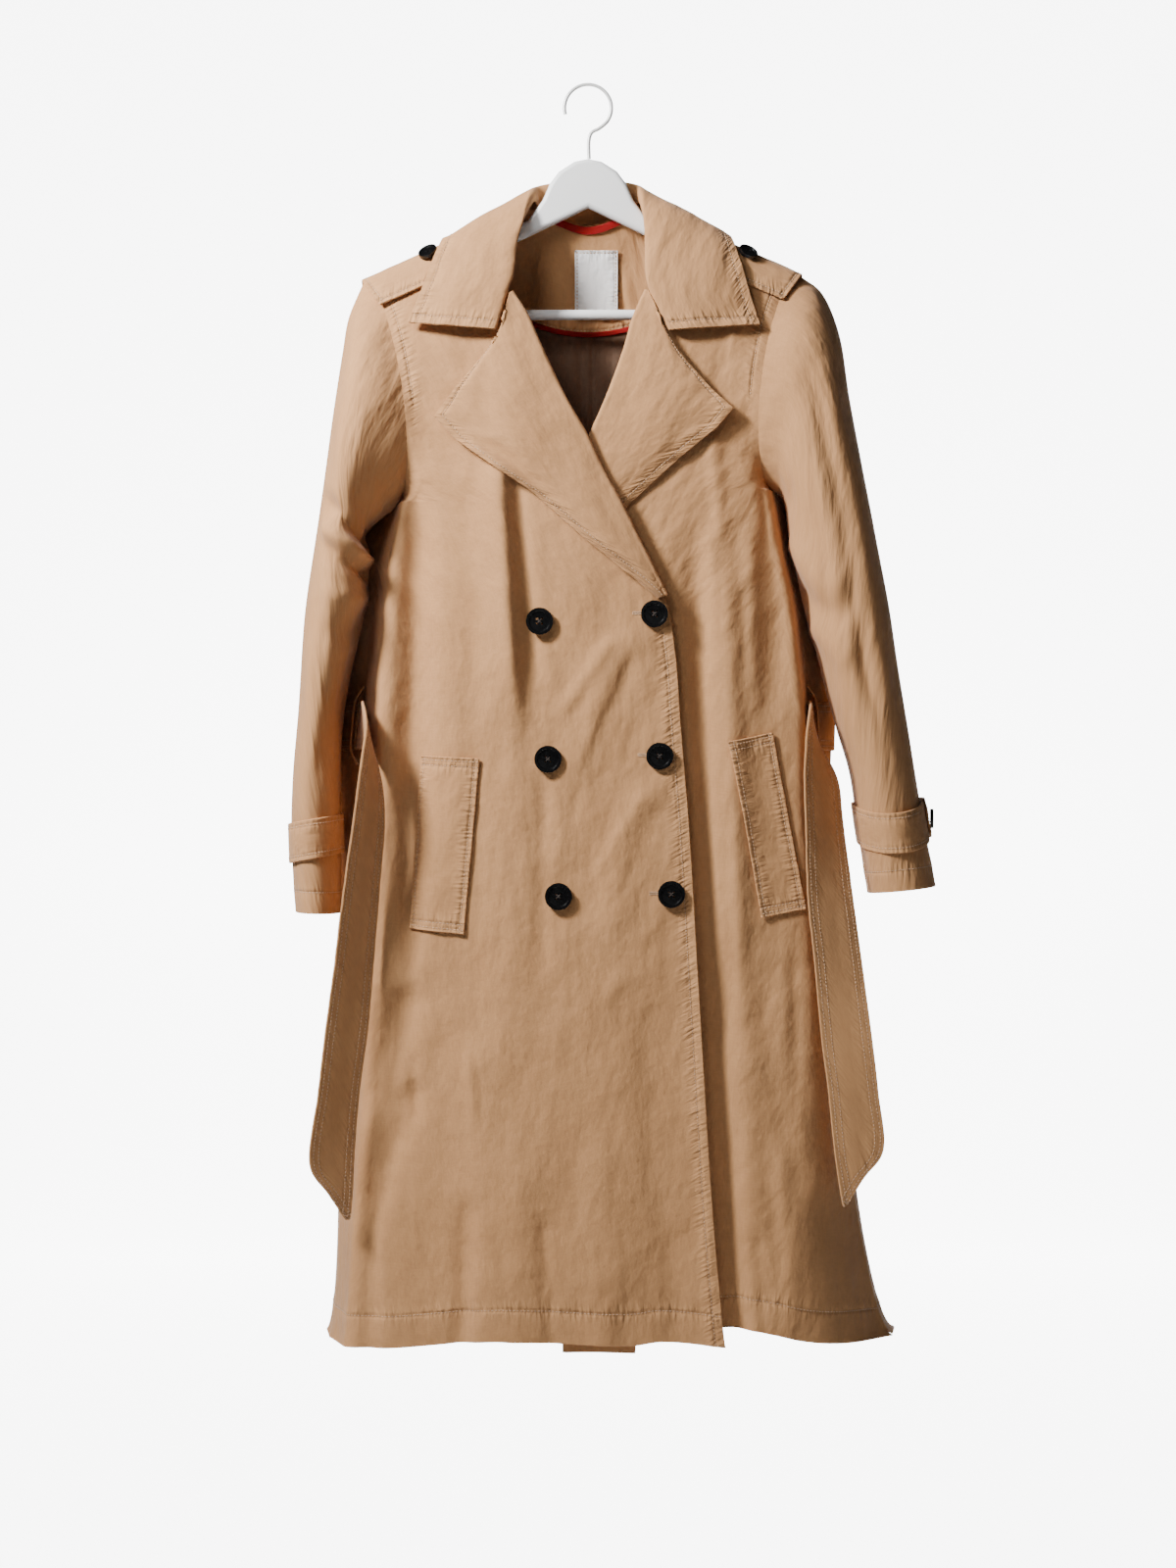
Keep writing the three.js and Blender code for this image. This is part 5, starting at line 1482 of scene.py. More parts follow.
class Cutter:
    """Cuts every piece of cloth that lies on the body or inside it."""

    def __init__(self, body: Body) -> None:
        """Keeps the body that the pieces lie on."""
        self.body = body
        self.gathers = Unevenness(31, 7.0, 90.0)
        self.slack = Unevenness(32, 26.0, 60.0)

    def lapel(self, half: Half) -> Cloth:
        """Cuts a lapel, from its roll to its free edge."""
        table, sign = LAPELS[half], SIDES[half].sign
        lines = []
        for i, row in enumerate(table):
            before, after = table[max(i - 1, 0)], table[min(i + 1, len(table) - 1)]
            along = unit(np.array([after.roll_x - before.roll_x, after.roll_z - before.roll_z]))
            out = np.array([along[1], -along[0]])
            out = -out if out[0] * sign < 0 else out
            centre = np.array([row.roll_x, row.roll_z]) + out * ROLL
            base = float(self.body.front(half, centre[0], centre[1])) + 1.6
            angle = np.pi * np.linspace(0.08, 1, 12)
            reach = -ROLL * np.sin(angle)
            roll = np.stack([centre[0] + out[0] * reach, base - ROLL + ROLL * np.cos(angle), centre[1] + out[1] * reach], 1)
            t = np.linspace(0, 1, 37)[1:]
            x, z = mix(centre[0], row.edge_x, t), mix(centre[1], row.edge_z, t)
            lift = mix(2 * ROLL - 1.6, row.lift, t) + 3 * np.sin(np.pi * t)
            leaf = np.stack([x, self.body.front(half, x, z) - lift, z], 1)
            lines.append(np.concatenate([roll, leaf]))
        path, last = SplinePath(np.array(lines)), len(lines) - 1
        straight = ease((np.linspace(0, 1, lines[0].shape[0]) - 0.5) / 0.4)[:, None]
        rows = []
        for t in np.linspace(0, 1, 131):
            i = min(int(t * last), last - 1)
            rows.append(mix(path(t), mix(lines[i], lines[i + 1], t * last - i), straight))
        points = np.array(rows)
        if half is Half.RIGHT:
            points[..., 1] += 4.0 * ease((np.linspace(0, 1, len(points)) - 0.8) / 0.2)[:, None]
        return self.relax(Cloth(points, spot(0, -1, 0)), 0.9)

    def relax(self, cloth: Cloth, height: float) -> Cloth:
        """Lets a flat piece wave a little, and its edges more than its middle."""
        loose = 0.6 + 0.8 * ease((cloth.across / cloth.across[:, -1:] - 0.5) / 0.5)
        waves = self.slack(cloth.across, cloth.down) + 0.5 * self.slack(cloth.down * 1.7 + 300, cloth.across * 1.7)
        return cloth.shift(height * loose * waves * ease(cloth.across / 25.0))

    @staticmethod
    def collar_section(station: Station, sign: int) -> SplinePath:
        """Returns the curve of one section of the collar, from the neck seam over the fold to its edge."""
        turn, rise = math.radians(station.face), math.radians(station.rise)
        face = spot(-sign * math.cos(turn), math.sin(turn), 0)
        up = spot(sign * math.sin(turn), math.cos(turn), 0) * math.cos(rise) + spot(0, 0, math.sin(rise))
        fold, edge = spot(*station.fold), spot(*station.edge)
        outwards = unit(edge - fold)
        neck = fold - up * station.stand - face * COLLAR_BEND
        rolled = fold + face * COLLAR_BEND + outwards * COLLAR_BEND
        inside = fold - up * COLLAR_BEND - face * COLLAR_BEND
        if station.stand <= COLLAR_BEND:
            inside = mix(inside, fold, 0.4)
        across = unit(np.cross(outwards, np.cross(up, face)))
        lift = -station.full if across @ face + across[2] < 0 else station.full
        middle = mix(rolled, edge, 0.5) + across * lift
        return SplinePath(np.array([neck, inside, fold, rolled, middle, edge]))

    def collar(self) -> Cloth:
        """Cuts the collar in one piece round the neck."""
        stations = [(row, -1) for row in (*COLLAR[Half.LEFT], *COLLAR["middle"])]
        stations += [(row, 1) for row in reversed(COLLAR[Half.RIGHT])]
        places = np.concatenate([np.linspace(0, 0.6, 22), np.linspace(0.6, 1, 27)[1:]])
        sections = [self.collar_section(*station) for station in stations]
        path = SplinePath(np.array([[section(place) for place in places] for section in sections]))
        return self.relax(Cloth(np.array([path(t) for t in np.linspace(0, 1, 260)]), spot(0, 1, 0)), 1.1)

    def shoulder_point(self, x: Array, drop: Array) -> Array:
        """Returns points near a shoulder seam; a drop below zero counts down the back."""
        z = self.body.shoulder(x) - np.abs(drop)
        y = np.where(drop < 0, self.body.hang_back(-drop), -self.body.hang_front(drop))
        return np.stack([x, y, z], axis=-1)

    def epaulet(self, half: Half) -> Cloth:
        """Cuts an epaulet, with its slanted end at the sleeve."""
        side = SIDES[half]
        drop, t = np.meshgrid(np.linspace(-4, 35, 34), np.linspace(0, 1, 60))
        out_end = side.tip_x + 0.5 - 19 * np.maximum(drop, 0) / 35
        return Cloth(self.shoulder_point(side.sign * mix(141.0, out_end, t), drop), spot(0, 0, 1))

    def pocket(self, half: Half) -> Cloth:
        """Cuts a pocket welt."""
        welt = POCKETS[half]
        u, v = np.meshgrid(np.linspace(0, 1, 26), np.linspace(0, 1, 80))
        x = mix(mix(welt.top[0], welt.top[2], u), mix(welt.foot[0], welt.foot[2], u), v)
        z = mix(mix(welt.top[1], welt.top[3], u), mix(welt.foot[1], welt.foot[3], u), v)
        return Cloth(np.stack([x, self.body.front(half, x, z), z], axis=-1), spot(0, -1, 0))

    def cuff_strap(self, half: Half) -> Cloth:
        """Cuts a cuff strap round a sleeve, with its pointed end lapping over."""
        strap, rings = CUFF_STRAPS[half], SLEEVES[half]
        middles = np.array([(row.out_z + row.in_z) / 2 for row in rings])[::-1]
        numbers = np.arange(len(rings), 0, -1)
        lines = []
        for t in np.linspace(0, 1, 150):
            angle = math.radians(strap.start + t * 384)
            turn, face = math.acos(math.cos(angle)) / math.pi, (1 if math.sin(angle) <= 0 else -1)
            tilt = mix(strap.outer_top, strap.inner_top, (1 - math.cos(angle)) / 2)
            top = tilt - strap.sag * max(math.sin(angle), 0)
            tip = 7 * (t - 0.96) / 0.04 if t > 0.96 else 0
            lift = 0.9 + 2.6 * float(ease((t - 0.88) / 0.05))
            line = []
            for share in np.linspace(0, 1, 13):
                z = mix(top - tip, top - strap.height + tip, share)
                ring = float(np.interp(z, middles, numbers))
                at = lambda turned: Body.sleeve_point(half, ring, turned, face)
                here = at(turn)
                centre = (at(0.0) + at(1.0)) / 2
                tangent = at(min(turn + 0.01, 1.0)) - at(max(turn - 0.01, 0.0))
                out = unit(np.cross(tangent, spot(0, 0, 1)))
                out = -out if out @ ((here - centre) * spot(1, 1, 0)) < 0 else out
                line.append(here + out * lift)
            lines.append(line)
        points = np.array(lines)
        return Cloth(points, points[75, 6] - points.mean(axis=(0, 1)))

    def belt_back(self) -> Cloth:
        """Cuts the stretch of the belt across the back."""
        rows = []
        for z in np.linspace(BELT_TOP, BELT_BOTTOM, 15):
            halves = []
            for half, side in SIDES.items():
                read = lambda name: float(Column(FLANKS[half], "z", name)(z))
                seam = spot(side.sign * read("seam"), 0, z)
                start, corner = spot(CENTRE_BACK, 0, z), side.sign * Body.back_corner(half)(z)
                halves.append(Body.level(side, start, seam, corner, read("soft"), self.body.back, 44)[:-1])
            rows.append(np.concatenate([halves[0][::-1], halves[1][1:]]))
        return Cloth(np.array(rows), spot(0, 1, 0))

    def belt_end(self, half: Half) -> Cloth:
        """Cuts a loose end of the belt."""
        table = BELT_ENDS[half]
        near = SplinePath(np.array([row[:3] for row in table], dtype=float))
        far = SplinePath(np.array([row[3:] for row in table], dtype=float))
        share = np.linspace(0, 1, 15)[:, None]
        return Cloth(np.array([mix(near(t), far(t), share) for t in np.linspace(0, 1, 160)]), spot(0, -1, 0))

    @staticmethod
    def belt_loop(half: Half) -> Cloth:
        """Cuts the loop that holds the belt at a side seam."""
        side, seam_x = SIDES[half], Column(FLANKS[half], "z", "seam")
        bulge = ((-583, 0), (-588, 3), (-595, 6.5), (-620, 7.5), (-645, 6.5), (-652, 3), (-657, 0))
        path = SplinePath(np.array([(out, 0.0, z) for z, out in bulge]))
        lines = []
        for t in np.linspace(0, 1, 41):
            out, _, z = path(t)
            y = np.linspace(-0.5, 0.5, 7) * 10 - 2
            x = side.sign * (float(seam_x(z)) + out + 0.6 + 0.45 * np.maximum(y, 0))
            lines.append(np.stack([x, y, np.full_like(y, z)], axis=1))
        return Cloth(np.array(lines), spot(side.sign, 0, 0))

    def inside(self, top: Callable, foot: Callable, left: float, right: float, away: float, size: tuple[int, int]) -> Cloth:
        """Cuts a piece that lies inside the back.

        Args:
            top: Gives the top edge's height from x.
            foot: Gives the foot's height from x.
            left: The left edge's x.
            right: The right edge's x.
            away: How far it stands inside the back's cloth.
            size: Its rows and columns.

        Returns:
            The piece, looking at the viewer.
        """
        u, v = np.meshgrid(np.linspace(0, 1, size[1]), np.linspace(0, 1, size[0]))
        x = mix(left, right, u)
        z = mix(top(x), foot(x), v)
        return Cloth(np.stack([x, self.body.back(x, z) - CLOTH - away, z], axis=-1), spot(0, -1, 0))

    def neck_top(self, x: Array) -> Array:
        """Returns the height of the facing's top edge."""
        over = self.body.shoulder(x) - 24
        return mix(Body.neckline(x) - 3, over, ease((np.abs(x) - 40) / 16))

    @staticmethod
    def facing_foot(x: Array) -> Array:
        """Returns the height of the facing's foot."""
        return FACING_FOOT + FACING_RISE * (x / 48) ** 2

    def facing(self) -> Cloth:
        """Cuts the facing below the neck seam, gathered a little above its foot."""
        cloth = self.inside(self.neck_top, self.facing_foot, -84, 84, 2.4, (60, 130))
        x, z = cloth.points[..., 0], cloth.points[..., 2]
        gathers = self.gathers(x + 0.2 * z, z) * ease((-z - 150) / 40)
        return cloth.shift(1.8 * gathers + 0.7 * self.slack(x, z))

    def lining(self) -> Cloth:
        """Cuts the lining below the facing."""
        cloth = self.inside(lambda x: self.facing_foot(x) - 3, lambda x: LINING_FOOT + 0 * x, -80, 80, 2.4, (80, 90))
        x, z = cloth.points[..., 0], cloth.points[..., 2]
        seam = -1.6 * np.exp(-(((x - 4) / 2.2) ** 2))
        return cloth.shift(seam + 0.8 * self.gathers(x, z) + 0.9 * self.slack(x, z))

    def piping(self) -> Cloth:
        """Cuts the narrow red edge between facing and lining."""
        return self.inside(lambda x: self.facing_foot(x) + 1, lambda x: self.facing_foot(x) - 3, -72, 72, 3.8, (7, 90))

    def tape(self) -> Cloth:
        """Cuts the red tape under the neck seam."""
        return self.inside(lambda x: self.neck_top(x) + 1, lambda x: self.neck_top(x) - 5.5, -36, 38, 4.2, (9, 60))

    def label(self) -> Cloth:
        """Cuts the bare label in the neck."""
        level = lambda z: lambda x: z + 0 * x
        cloth = self.inside(level(-157.0), level(-222.0), -12.5, 28.8, 5.6, (40, 30))
        return cloth.shift(0.5 * self.slack(cloth.points[..., 0] * 2, cloth.points[..., 2]))

    def vent_underlap(self) -> Cloth:
        """Cuts the underlap behind the vent."""
        level = lambda z: lambda x: z + 0 * x
        return self.inside(level(VENT_TOP + 20), level(-1240.0), -25, 47, 0.9, (90, 20))


@dataclass(frozen=True)
class Piece:
    """A piece of cloth: how it is cut, how thick it is, how it is held and where it is sewn."""

    node: str
    cut: Callable[[], Cloth]
    flat: tuple[float, float]
    rests_on: tuple[str, ...]
    outer: float = 0.0
    inner: float = -CLOTH
    hold: Hold = Hold.LAID
    share: float = 1.0
    slot: str = "twill"
    finish: Finish = Finish.TWILL
    seams: tuple[Seam, ...] = ()
    pucker: float = 0.0


class Coat:
    """The coat's cloth, cut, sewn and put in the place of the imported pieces."""

    def __init__(self, body: Body) -> None:
        """Lists the pieces.

        Args:
            body: The body that they make or lie on.
        """
        self.body, self.cutter, self.room = body, Cutter(body), SewingRoom()
        self.pieces = (*self.shell(), *self.laid(), *self.neck())

    def shell(self) -> tuple[Piece, ...]:
        """Lists the fronts, the back and the sleeves."""
        body = self.body
        front = lambda half: (lambda: body.front_cloth(half))
        back = lambda half: (lambda: body.back_cloth(half))
        sleeve = lambda half, face: (lambda: body.sleeve_cloth(half, face))
        board = ("hanger_board",)
        edge = (Seam("first", 8.5, 0.36), Seam("bottom", 30), Seam("last", 9, 0, 0.13))
        spine = (Seam("first", 5, 0.0, 0.97), Seam("bottom", 30), Seam("last", 9, 0, 0.2))
        cuff = (Seam("bottom", 20),)
        return (
            Piece("front_over", front(Half.LEFT), (0.41, 1.09), board, hold=Hold.HUNG, seams=edge, pucker=0.8),
            Piece("front_under", front(Half.RIGHT), (0.37, 1.09), board, hold=Hold.HUNG, seams=edge, pucker=0.8),
            Piece("back_left", back(Half.LEFT), (0.3, 1.08), board, hold=Hold.HUNG, seams=spine, pucker=0.7),
            Piece("back_right", back(Half.RIGHT), (0.3, 1.08), board, hold=Hold.HUNG, seams=spine, pucker=0.7),
            *(
                Piece(f"sleeve_{half.value}_{name}", sleeve(half, face), (0.165, 0.62), (f"{panel}",), hold=Hold.HUNG, seams=cuff, pucker=0.5)
                for half, panels in ((Half.LEFT, ("front_over", "back_left")), (Half.RIGHT, ("front_under", "back_right")))
                for name, face, panel in (("front", -1, panels[0]), ("back", 1, panels[1]))
            ),
        )

    def laid(self) -> tuple[Piece, ...]:
        """Lists what is folded over, sewn on or worn round the body."""
        cut = self.cutter
        fronts = {Half.LEFT: "front_over", Half.RIGHT: "front_under"}
        round_edge = (Seam("last", 8), Seam("top", 8, 0.45), Seam("bottom", 8, 0.45))
        strap = (Seam("first", 4.5), Seam("last", 4.5), Seam("bottom", 5))
        belt = (Seam("top", 3.5), Seam("bottom", 3.5), Seam("top", 9), Seam("bottom", 9))
        belt_edges = (Seam("first", 3.5), Seam("last", 3.5), Seam("first", 9), Seam("last", 9), Seam("bottom", 4))
        welt = (Seam("first", 4), Seam("last", 4), Seam("top", 3), Seam("top", 8), Seam("bottom", 3), Seam("bottom", 8))
        found = [
            Piece("lapel_over", lambda: cut.lapel(Half.LEFT), (0.13, 0.4), ("front_over",), 0, -LAYERED, Hold.FOLDED, 0.5, seams=(Seam("last", 8),), pucker=0.9),
            Piece("lapel_under", lambda: cut.lapel(Half.RIGHT), (0.13, 0.36), ("front_under",), 0, -LAYERED, Hold.FOLDED, 0.5, seams=(Seam("last", 8),), pucker=0.9),
            Piece("collar", cut.collar, (0.12, 0.62), ("front_over", "front_under", "back_left", "back_right"), 0, -LAYERED, Hold.FOLDED, 0.8, seams=round_edge, pucker=1.0),
            Piece("belt_back", cut.belt_back, (0.5, 0.046), ("back_left", "back_right"), BELT_LIFT + BELT_THICK, BELT_LIFT, Hold.DRAPED, finish=Finish.BELT, seams=belt, pucker=0.4),
        ]
        for half, panel in fronts.items():
            name = half.value
            found += [
                Piece(f"epaulet_{name}", lambda h=half: cut.epaulet(h), (0.08, 0.045), (panel,), 3.2, 0.8, seams=(Seam("bottom", 4), Seam("last", 4), Seam("first", 4)), pucker=0.5),
                Piece(f"pocket_{name}", lambda h=half: cut.pocket(h), (0.05, 0.17), (panel,), 3.2, 1.2, seams=welt, pucker=0.5),
                Piece(f"cuff_strap_{name}", lambda h=half: cut.cuff_strap(h), (0.037, 0.35), (f"sleeve_{name}_front",), 2.0, 0.0, Hold.DRAPED, seams=strap, pucker=0.4),
                Piece(f"belt_end_{name}", lambda h=half: cut.belt_end(h), (0.046, 0.5), (f"belt_loop_{name}",), 1.2, -1.2, Hold.DRAPED, finish=Finish.BELT, seams=belt_edges, pucker=0.4),
                Piece(f"belt_loop_{name}", lambda h=half: cut.belt_loop(h), (0.01, 0.08), (panel,), 1.6, 0.0),
            ]
        return tuple(found)

    def neck(self) -> tuple[Piece, ...]:
        """Lists what the neck and the vent show of the inside."""
        cut = self.cutter
        behind = ("back_left", "back_right")
        return (
            Piece("neck_facing", cut.facing, (0.17, 0.11), behind, 1.0, 0.0, Hold.HUNG, seams=(Seam("bottom", 3),), pucker=0.4),
            Piece("lining", cut.lining, (0.16, 0.13), behind, 1.0, 0.0, Hold.HUNG, slot="lining", finish=Finish.LINING),
            Piece("neck_piping", cut.piping, (0.145, 0.01), ("neck_facing",), 1.6, 0.0, share=0.6, slot="red_trim", finish=Finish.RED),
            Piece("neck_tape", cut.tape, (0.075, 0.01), ("neck_facing",), 1.0, 0.0, slot="red_trim", finish=Finish.RED),
            Piece("neck_label", cut.label, (0.042, 0.065), ("neck_facing",), 1.0, 0.0, slot="label", finish=Finish.LABEL, seams=(Seam("top", 2), Seam("bottom", 2), Seam("first", 2), Seam("last", 2)), pucker=0.3),
            Piece("vent_underlap", cut.vent_underlap, (0.072, 0.4), behind, CLOTH, 0.0, Hold.HUNG, seams=(Seam("bottom", 30),), pucker=0.4),
        )

    def build(self) -> None:
        """Cuts and sews every piece."""
        for seed, piece in enumerate(self.pieces):
            cloth = piece.cut().sew(*piece.seams)
            if piece.pucker:
                cloth.pucker(100 + seed, piece.pucker)
            sheet = self.room.wall(f"{piece.node}_sewn", cloth, piece.outer, piece.inner, piece.finish)
            self.room.carry(sheet, piece.slot)
            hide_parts(piece.node)
            stitches = [self.room.stitches(f"{piece.node}_stitches", cloth, piece.outer)] if piece.seams else []
            width, length = piece.flat
            measured = sum(face.area for face in sheet.data.polygons) / 2
            LOG.info("%s: cloth %.4f of cut %.4f, ratio %.2f", piece.node, measured, width * length, measured / (width * length))
            rests = [name if name.startswith("hanger") else f"{name}_sewn" for name in piece.rests_on]
            area = width * length * piece.share if piece.share < 1 else None


class Trimmings:
    """The buttons, the hanger and its hook, made with Blender's own tools."""

    def __init__(self) -> None:
        """Keeps the masters of the buttons."""
        self.masters: dict[float, bpy.types.Object] = {}

    @staticmethod
    def pick(piece: bpy.types.Object) -> None:
        """Makes a piece the only one selected."""
        bpy.ops.object.select_all(action="DESELECT")
        piece.select_set(True)
        bpy.context.view_layer.objects.active = piece

    @staticmethod
    def modify(piece: bpy.types.Object, kind: str, **settings: object) -> None:
        """Adds a modifier and applies it."""
        Trimmings.pick(piece)
        modifier = piece.modifiers.new(kind.title(), kind)
        for name, value in settings.items():
            setattr(modifier, name, value)
        bpy.ops.object.modifier_apply(modifier=modifier.name)

    @staticmethod
    def cylinder(radius: float, deep: float, at: tuple[float, float, float], sides: int = 24) -> bpy.types.Object:
        """Makes a cylinder along Z, in millimetres."""
        bpy.ops.object.select_all(action="DESELECT")
        place = tuple(v * MM for v in at)
        bpy.ops.mesh.primitive_cylinder_add(vertices=sides, radius=radius * MM, depth=deep * MM, location=place)
        bpy.ops.object.transform_apply(location=True, rotation=True, scale=True)
        return bpy.context.active_object

    def button(self, radius: float, thick: float) -> bpy.types.Object:
        """Makes a button with a raised rim and four holes, standing on the floor of its own frame."""
        button = self.cylinder(radius, thick, (0, 0, thick / 2), 64)
        self.pick(button)
        bpy.ops.object.mode_set(mode="EDIT")
        bpy.ops.mesh.select_mode(type="FACE")
        bpy.ops.mesh.select_all(action="DESELECT")
        bpy.ops.object.mode_set(mode="OBJECT")
        top = max(button.data.polygons, key=lambda face: face.center.z)
        top.select = True
        bpy.ops.object.mode_set(mode="EDIT")
        bpy.ops.mesh.inset(thickness=radius * 0.2 * MM)
        bpy.ops.mesh.inset(thickness=radius * 0.07 * MM)
        bpy.ops.transform.translate(value=(0, 0, -0.3 * thick * MM))
        bpy.ops.object.mode_set(mode="OBJECT")
        spread = radius * 0.17
        for x in (-spread, spread):
            for y in (-spread, spread):
                drill = self.cylinder(radius * 0.085, thick * 3, (x, y, thick / 2), 16)
                self.modify(button, "BOOLEAN", operation="DIFFERENCE", object=drill, solver="EXACT")
                bpy.data.objects.remove(drill, do_unlink=True)
        self.modify(button, "BEVEL", width=0.35 * MM, segments=3, limit_method="ANGLE", angle_limit=math.radians(35))
        SewingRoom.smooth(button, 35)
        button.data.materials.append(Finish.BUTTON.material())
        return button

    def place(self, node: str, radius: float, thick: float, at: Vector, out: Vector) -> bpy.types.Object:
        """Sets a copy of a button on a place, looking along a direction.

        Args:
            node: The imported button.
            radius: Its radius in millimetres.
            thick: Its thickness.
            at: The middle of its back, in metres.
            out: The way its face looks.

        Returns:
            The button.
        """
        if radius not in self.masters:
            self.masters[radius] = self.button(radius, thick)
        button = self.masters[radius].copy()
        button.data = button.data.copy()
        button.name = f"{node}_made"
        bpy.context.collection.objects.link(button)
        turn = Vector(out).to_track_quat("Z", "Y").to_matrix().to_4x4()
        button.data.transform(Matrix.Translation(at) @ turn)
        SewingRoom.carry(button, "button")
        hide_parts(node)
        return button

    def buttons(self) -> None:
        """Sets every button on its place."""
        for row in FRONT_BUTTONS:
            low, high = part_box(row.node)
            self.place(row.node, 12.8, 4.0, Vector((row.x * MM, high.y, row.z * MM)), Vector((0, -1, 0)))
        for node in ("epaulet_button_left", "epaulet_button_right", "cuff_button_left", "cuff_button_right"):
            sign = -1 if node.endswith("left") else 1
            out = Vector((sign * 0.38, -0.62, 0.7)) if node.startswith("epaulet") else self.facing_of(node)
            out.normalize()
            low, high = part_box(node)
            self.place(node, 9.5, 3.4, (low + high) / 2 - out * 1.7 * MM, out)
        for master in self.masters.values():
            bpy.data.objects.remove(master, do_unlink=True)

    def buttonholes(self, body: Body) -> None:
        """Sews a hole beside each button of the right column and the threads that hold every front button."""
        room, holes, crosses = SewingRoom(), [], []
        for row in FRONT_BUTTONS:
            if "right" in row.node:
                x = np.arange(row.x - 20.5, row.x - 9.0, 0.55)
                for side in (-0.9, 0.9):
                    z = np.full_like(x, row.z + 1.0 + side)
                    middle = np.stack([x, body.front(Half.LEFT, x, z) - 0.25, z], axis=1)
                    holes.append((middle, np.tile(spot(0, 0, 1), (len(x), 1)), np.tile(spot(0, -1, 0), (len(x), 1))))
            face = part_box(row.node)[1].y / MM - 3.1
            for tilt in (1, -1):
                crosses.append((np.array([[row.x, face, row.z]]), np.array([[tilt, 0.0, 1.0]]), np.array([[0.0, -1.0, 0.0]])))
        room.threads("buttonholes", holes, 1.9, 0.3, Finish.THREAD)
        room.threads("button_threads", crosses, 6.4, 0.55, Finish.DARK_THREAD)

    @staticmethod
    def facing_of(node: str) -> Vector:
        """Returns the way a packed button on a cuff looks, from the proportions of its box."""
        low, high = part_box(node)
        size = high - low
        sign = -1 if node.endswith("left") else 1
        turn = math.atan2(max(size.y - 0.0034, 0.001), max(size.x - 0.0034, 0.001))
        behind = 1 if (low.y + high.y) / 2 > -12 * MM else -1
        return Vector((sign * math.sin(turn), behind * math.cos(turn), 0))

    def curve(self, name: str, points: Sequence, radius: float, finish: Finish, slot: str) -> bpy.types.Object:
        """Makes a round wire along points in millimetres."""
        data = bpy.data.curves.new(name, "CURVE")
        data.dimensions, data.bevel_depth, data.bevel_resolution = "3D", radius * MM, 6
        data.use_fill_caps = True
        spline = data.splines.new("POLY")
        spline.points.add(len(points) - 1)
        for place, point in zip(spline.points, points):
            place.co = (*(float(v) * MM for v in point), 1.0)
        wire = bpy.data.objects.new(name, data)
        bpy.context.collection.objects.link(wire)
        self.pick(wire)
        bpy.ops.object.convert(target="MESH")
        wire = bpy.context.active_object
        wire.data.materials.append(finish.material())
        SewingRoom.smooth(wire, 40)
        SewingRoom.carry(wire, slot)
        return wire

    def hanger(self) -> None:
        """Makes the board, its bar and the hook."""
        half = [*HANGER_TOP, *HANGER_FOOT]
        outline = [(row.x, row.z) for row in half] + [(0, -118)] + [(-row.x, row.z) for row in reversed(half[1:])]
        data = bpy.data.curves.new("board", "CURVE")
        data.dimensions, data.fill_mode = "2D", "BOTH"
        data.extrude, data.bevel_depth, data.bevel_resolution, data.offset = 2 * MM, 4 * MM, 3, -4 * MM
        spline = data.splines.new("POLY")
        spline.points.add(len(outline) - 1)
        spline.use_cyclic_u = True
        for place, (x, z) in zip(spline.points, outline):
            place.co = (x * MM, z * MM, 0.0, 1.0)
        board = bpy.data.objects.new("hanger_board_made", data)
        bpy.context.collection.objects.link(board)
        self.pick(board)
        bpy.ops.object.convert(target="MESH")
        board = bpy.context.active_object
        board.data.transform(Matrix.Rotation(math.radians(90), 4, "X"))
        board.data.materials.append(Finish.WOOD.material())
        SewingRoom.smooth(board, 35)
        SewingRoom.carry(board, "hanger_wood")
        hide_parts("hanger_board")
        bar = self.cylinder(5.0, 392.8, (0, 0, 0), 48)
        bar.name = "hanger_bar_made"
        bar.data.transform(Matrix.Translation((0, 0, -221.7 * MM)) @ Matrix.Rotation(math.radians(90), 4, "Y"))
        bar.data.materials.append(Finish.WOOD.material())
        SewingRoom.smooth(bar, 40)
        SewingRoom.carry(bar, "hanger_wood")
        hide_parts("hanger_bar")
        angles = np.radians(np.linspace(-34, 196, 30))
        bend = [spot(22.8 * math.cos(a), 0, -21.1 + 22.8 * math.sin(a)) for a in angles]
        stem = SplinePath(np.array([(1, 0, -70.5), (1, 0, -52), (3.5, 0, -45), (11, 0, -40.8), bend[0], bend[2]]))
        points = [stem(t) for t in np.linspace(0, 0.8, 24)] + bend[1:]
        hook = self.curve("hanger_hook_made", points, 1.7, Finish.WIRE, "hook_wire")
        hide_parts("hanger_hook")


@dataclass(frozen=True)
class Lamp:
    """A soft square light, in metres and watts."""

    name: str
    at: tuple[float, float, float]
    towards: tuple[float, float, float]
    size: float
    power: float


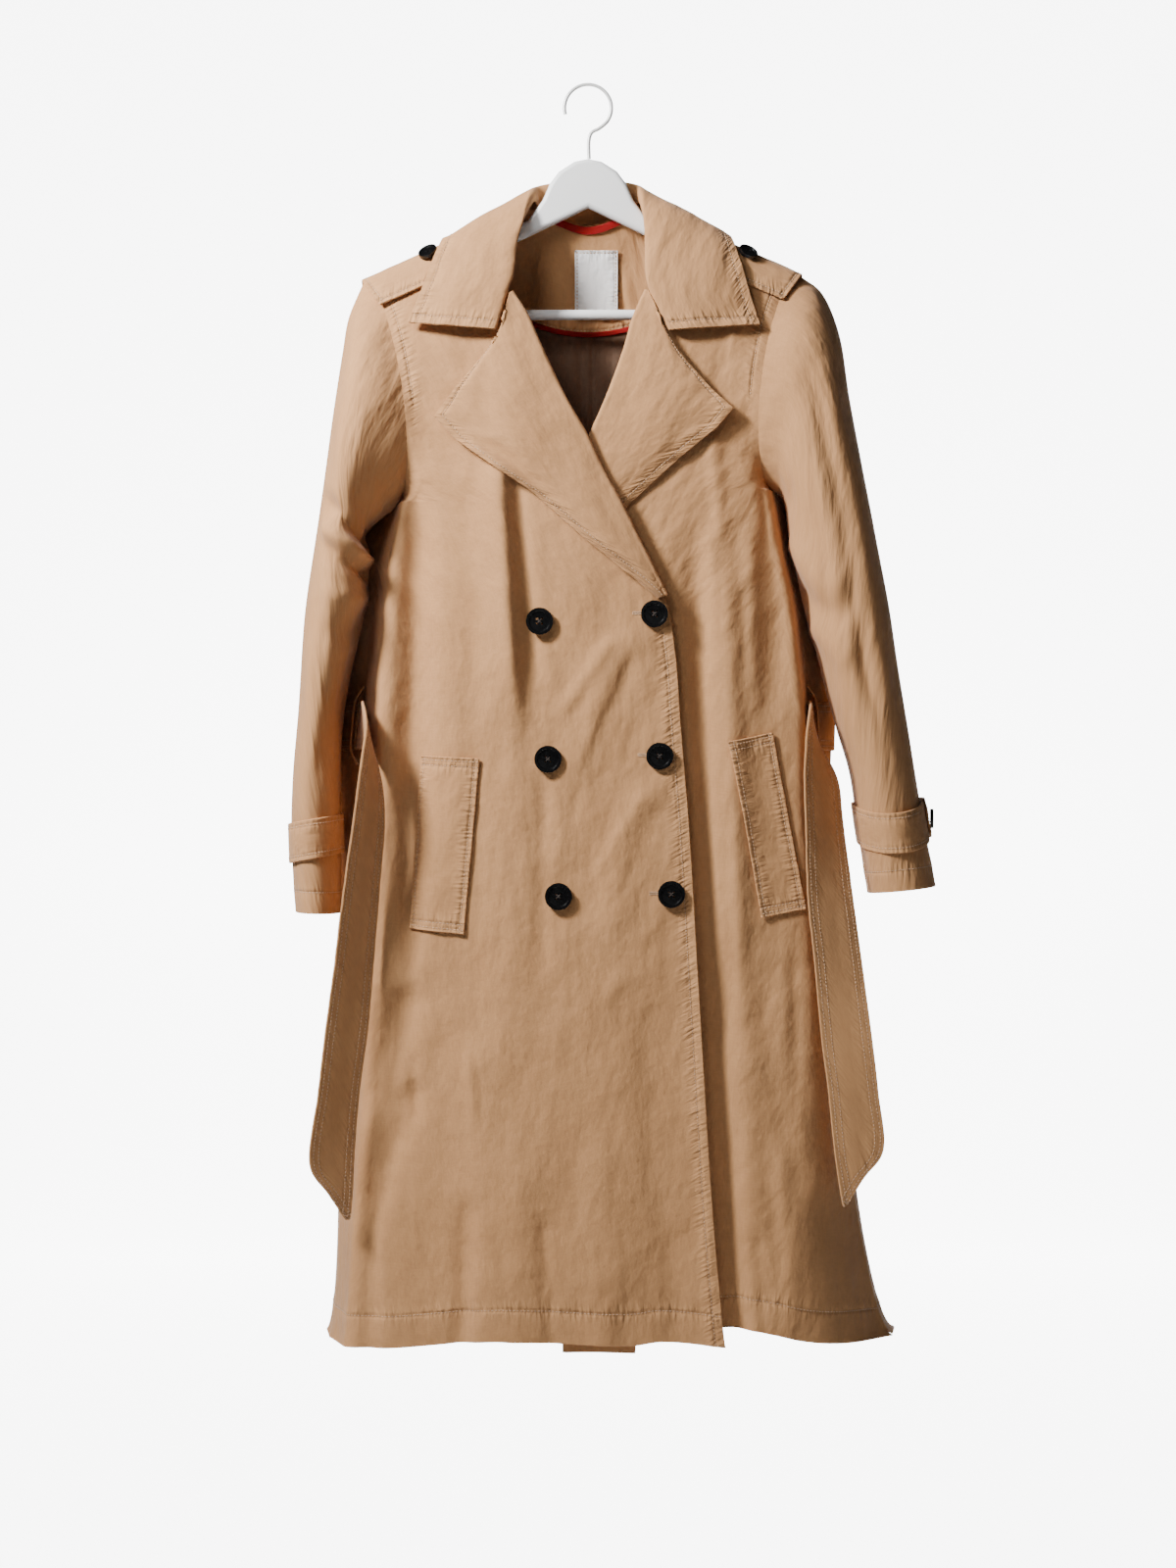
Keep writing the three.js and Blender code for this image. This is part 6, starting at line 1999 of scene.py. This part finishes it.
class Studio:
    """The camera, the lights and the white paper behind the coat."""

    LAMPS = (
        Lamp("key", (-1.15, -0.8, 0.5), (0.05, 0.0, -0.5), 0.3, 72.0),
        Lamp("fill", (0.8, -3.4, 0.2), (0.0, 0.0, -0.7), 2.0, 2.0),
        Lamp("top", (-0.7, -1.2, 0.7), (0.0, 0.0, -0.12), 0.4, 8.0),
    )

    def camera(self) -> None:
        """Sets the camera at the height of the coat's middle."""
        data = bpy.data.cameras.new("camera")
        data.lens, data.sensor_width = 71.05, 36.0
        camera = bpy.data.objects.new("camera", data)
        camera.location = (0.0, -3.0, -0.6764)
        camera.rotation_euler = (math.radians(90), 0.0, 0.0)
        bpy.context.collection.objects.link(camera)
        bpy.context.scene.camera = camera

    def lights(self) -> None:
        """Sets the lights and the pale surroundings."""
        for lamp in self.LAMPS:
            data = bpy.data.lights.new(lamp.name, "AREA")
            data.energy, data.size = lamp.power, lamp.size
            light = bpy.data.objects.new(lamp.name, data)
            light.location = lamp.at
            light.rotation_euler = (Vector(lamp.towards) - Vector(lamp.at)).to_track_quat("-Z", "Y").to_euler()
            bpy.context.collection.objects.link(light)
        world = bpy.data.worlds.new("surroundings")
        world.use_nodes = True
        sky = next(node for node in world.node_tree.nodes if node.type == "BACKGROUND")
        sky.inputs["Color"].default_value = (1.0, 1.0, 1.0, 1.0)
        sky.inputs["Strength"].default_value = 0.035
        bpy.context.scene.world = world

    def paper(self) -> None:
        """Lays the white paper: a floor that curves up into a wall."""
        bend = [(5.0 + math.sin(a), -0.9 - math.cos(a)) for a in np.linspace(0, math.pi / 2, 16)]
        profile = [(-5.0, -1.9), *bend, (6.0, 4.0)]
        points = [(x, y, z) for x in (-6.0, 6.0) for y, z in profile]
        count = len(profile)
        faces = [(i, i + count, i + count + 1, i + 1) for i in range(count - 1)]
        data = bpy.data.meshes.new("paper")
        data.from_pydata(points, [], faces)
        shader = Shader("white_paper")
        place = shader.node("ShaderNodeTexCoord", {}, {}, "Object")
        x, y, z = shader.parts(place)
        shade = (shader.noise(place, 40.0) * 0.02 + 0.5).clamp()
        colour = shader.blend(shade, (0.9, 0.9, 0.9), (0.94, 0.94, 0.94))
        wide = (y + 3.0) * 0.215
        lit = (y * 3.0 - 4.2).clamp() * ((wide * wide - x * x) * 4.0).clamp() * ((2.2 - z) * 2.0).clamp()
        glow = shader.blend(lit, (0.0, 0.0, 0.0), (1.0, 1.0, 1.0))
        data.materials.append(shader.finish(base_color=colour, roughness=0.9, emission_color=glow, emission_strength=7.0))
        paper = bpy.data.objects.new("paper", data)
        bpy.context.collection.objects.link(paper)
        SewingRoom.smooth(paper, 60)
        paper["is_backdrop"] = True


def corners(bounds: Sequence) -> list[list[float]]:
    """Returns a box as plain lists."""
    return [[float(v) for v in corner] for corner in bounds]


def main() -> None:
    """Builds the coat, its hanger and the studio round them."""
    logging.basicConfig(level=logging.INFO, format="%(name)s: %(message)s")
    studio = Studio()
    studio.camera()
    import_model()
    model = corners(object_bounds())
    body, trimmings = Body(), Trimmings()
    Coat(body).build()
    trimmings.buttons()
    trimmings.buttonholes(body)
    trimmings.hanger()
    studio.lights()
    studio.paper()
    {"model": model, "visual": corners(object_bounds())}


if __name__ == "__main__":
    main()
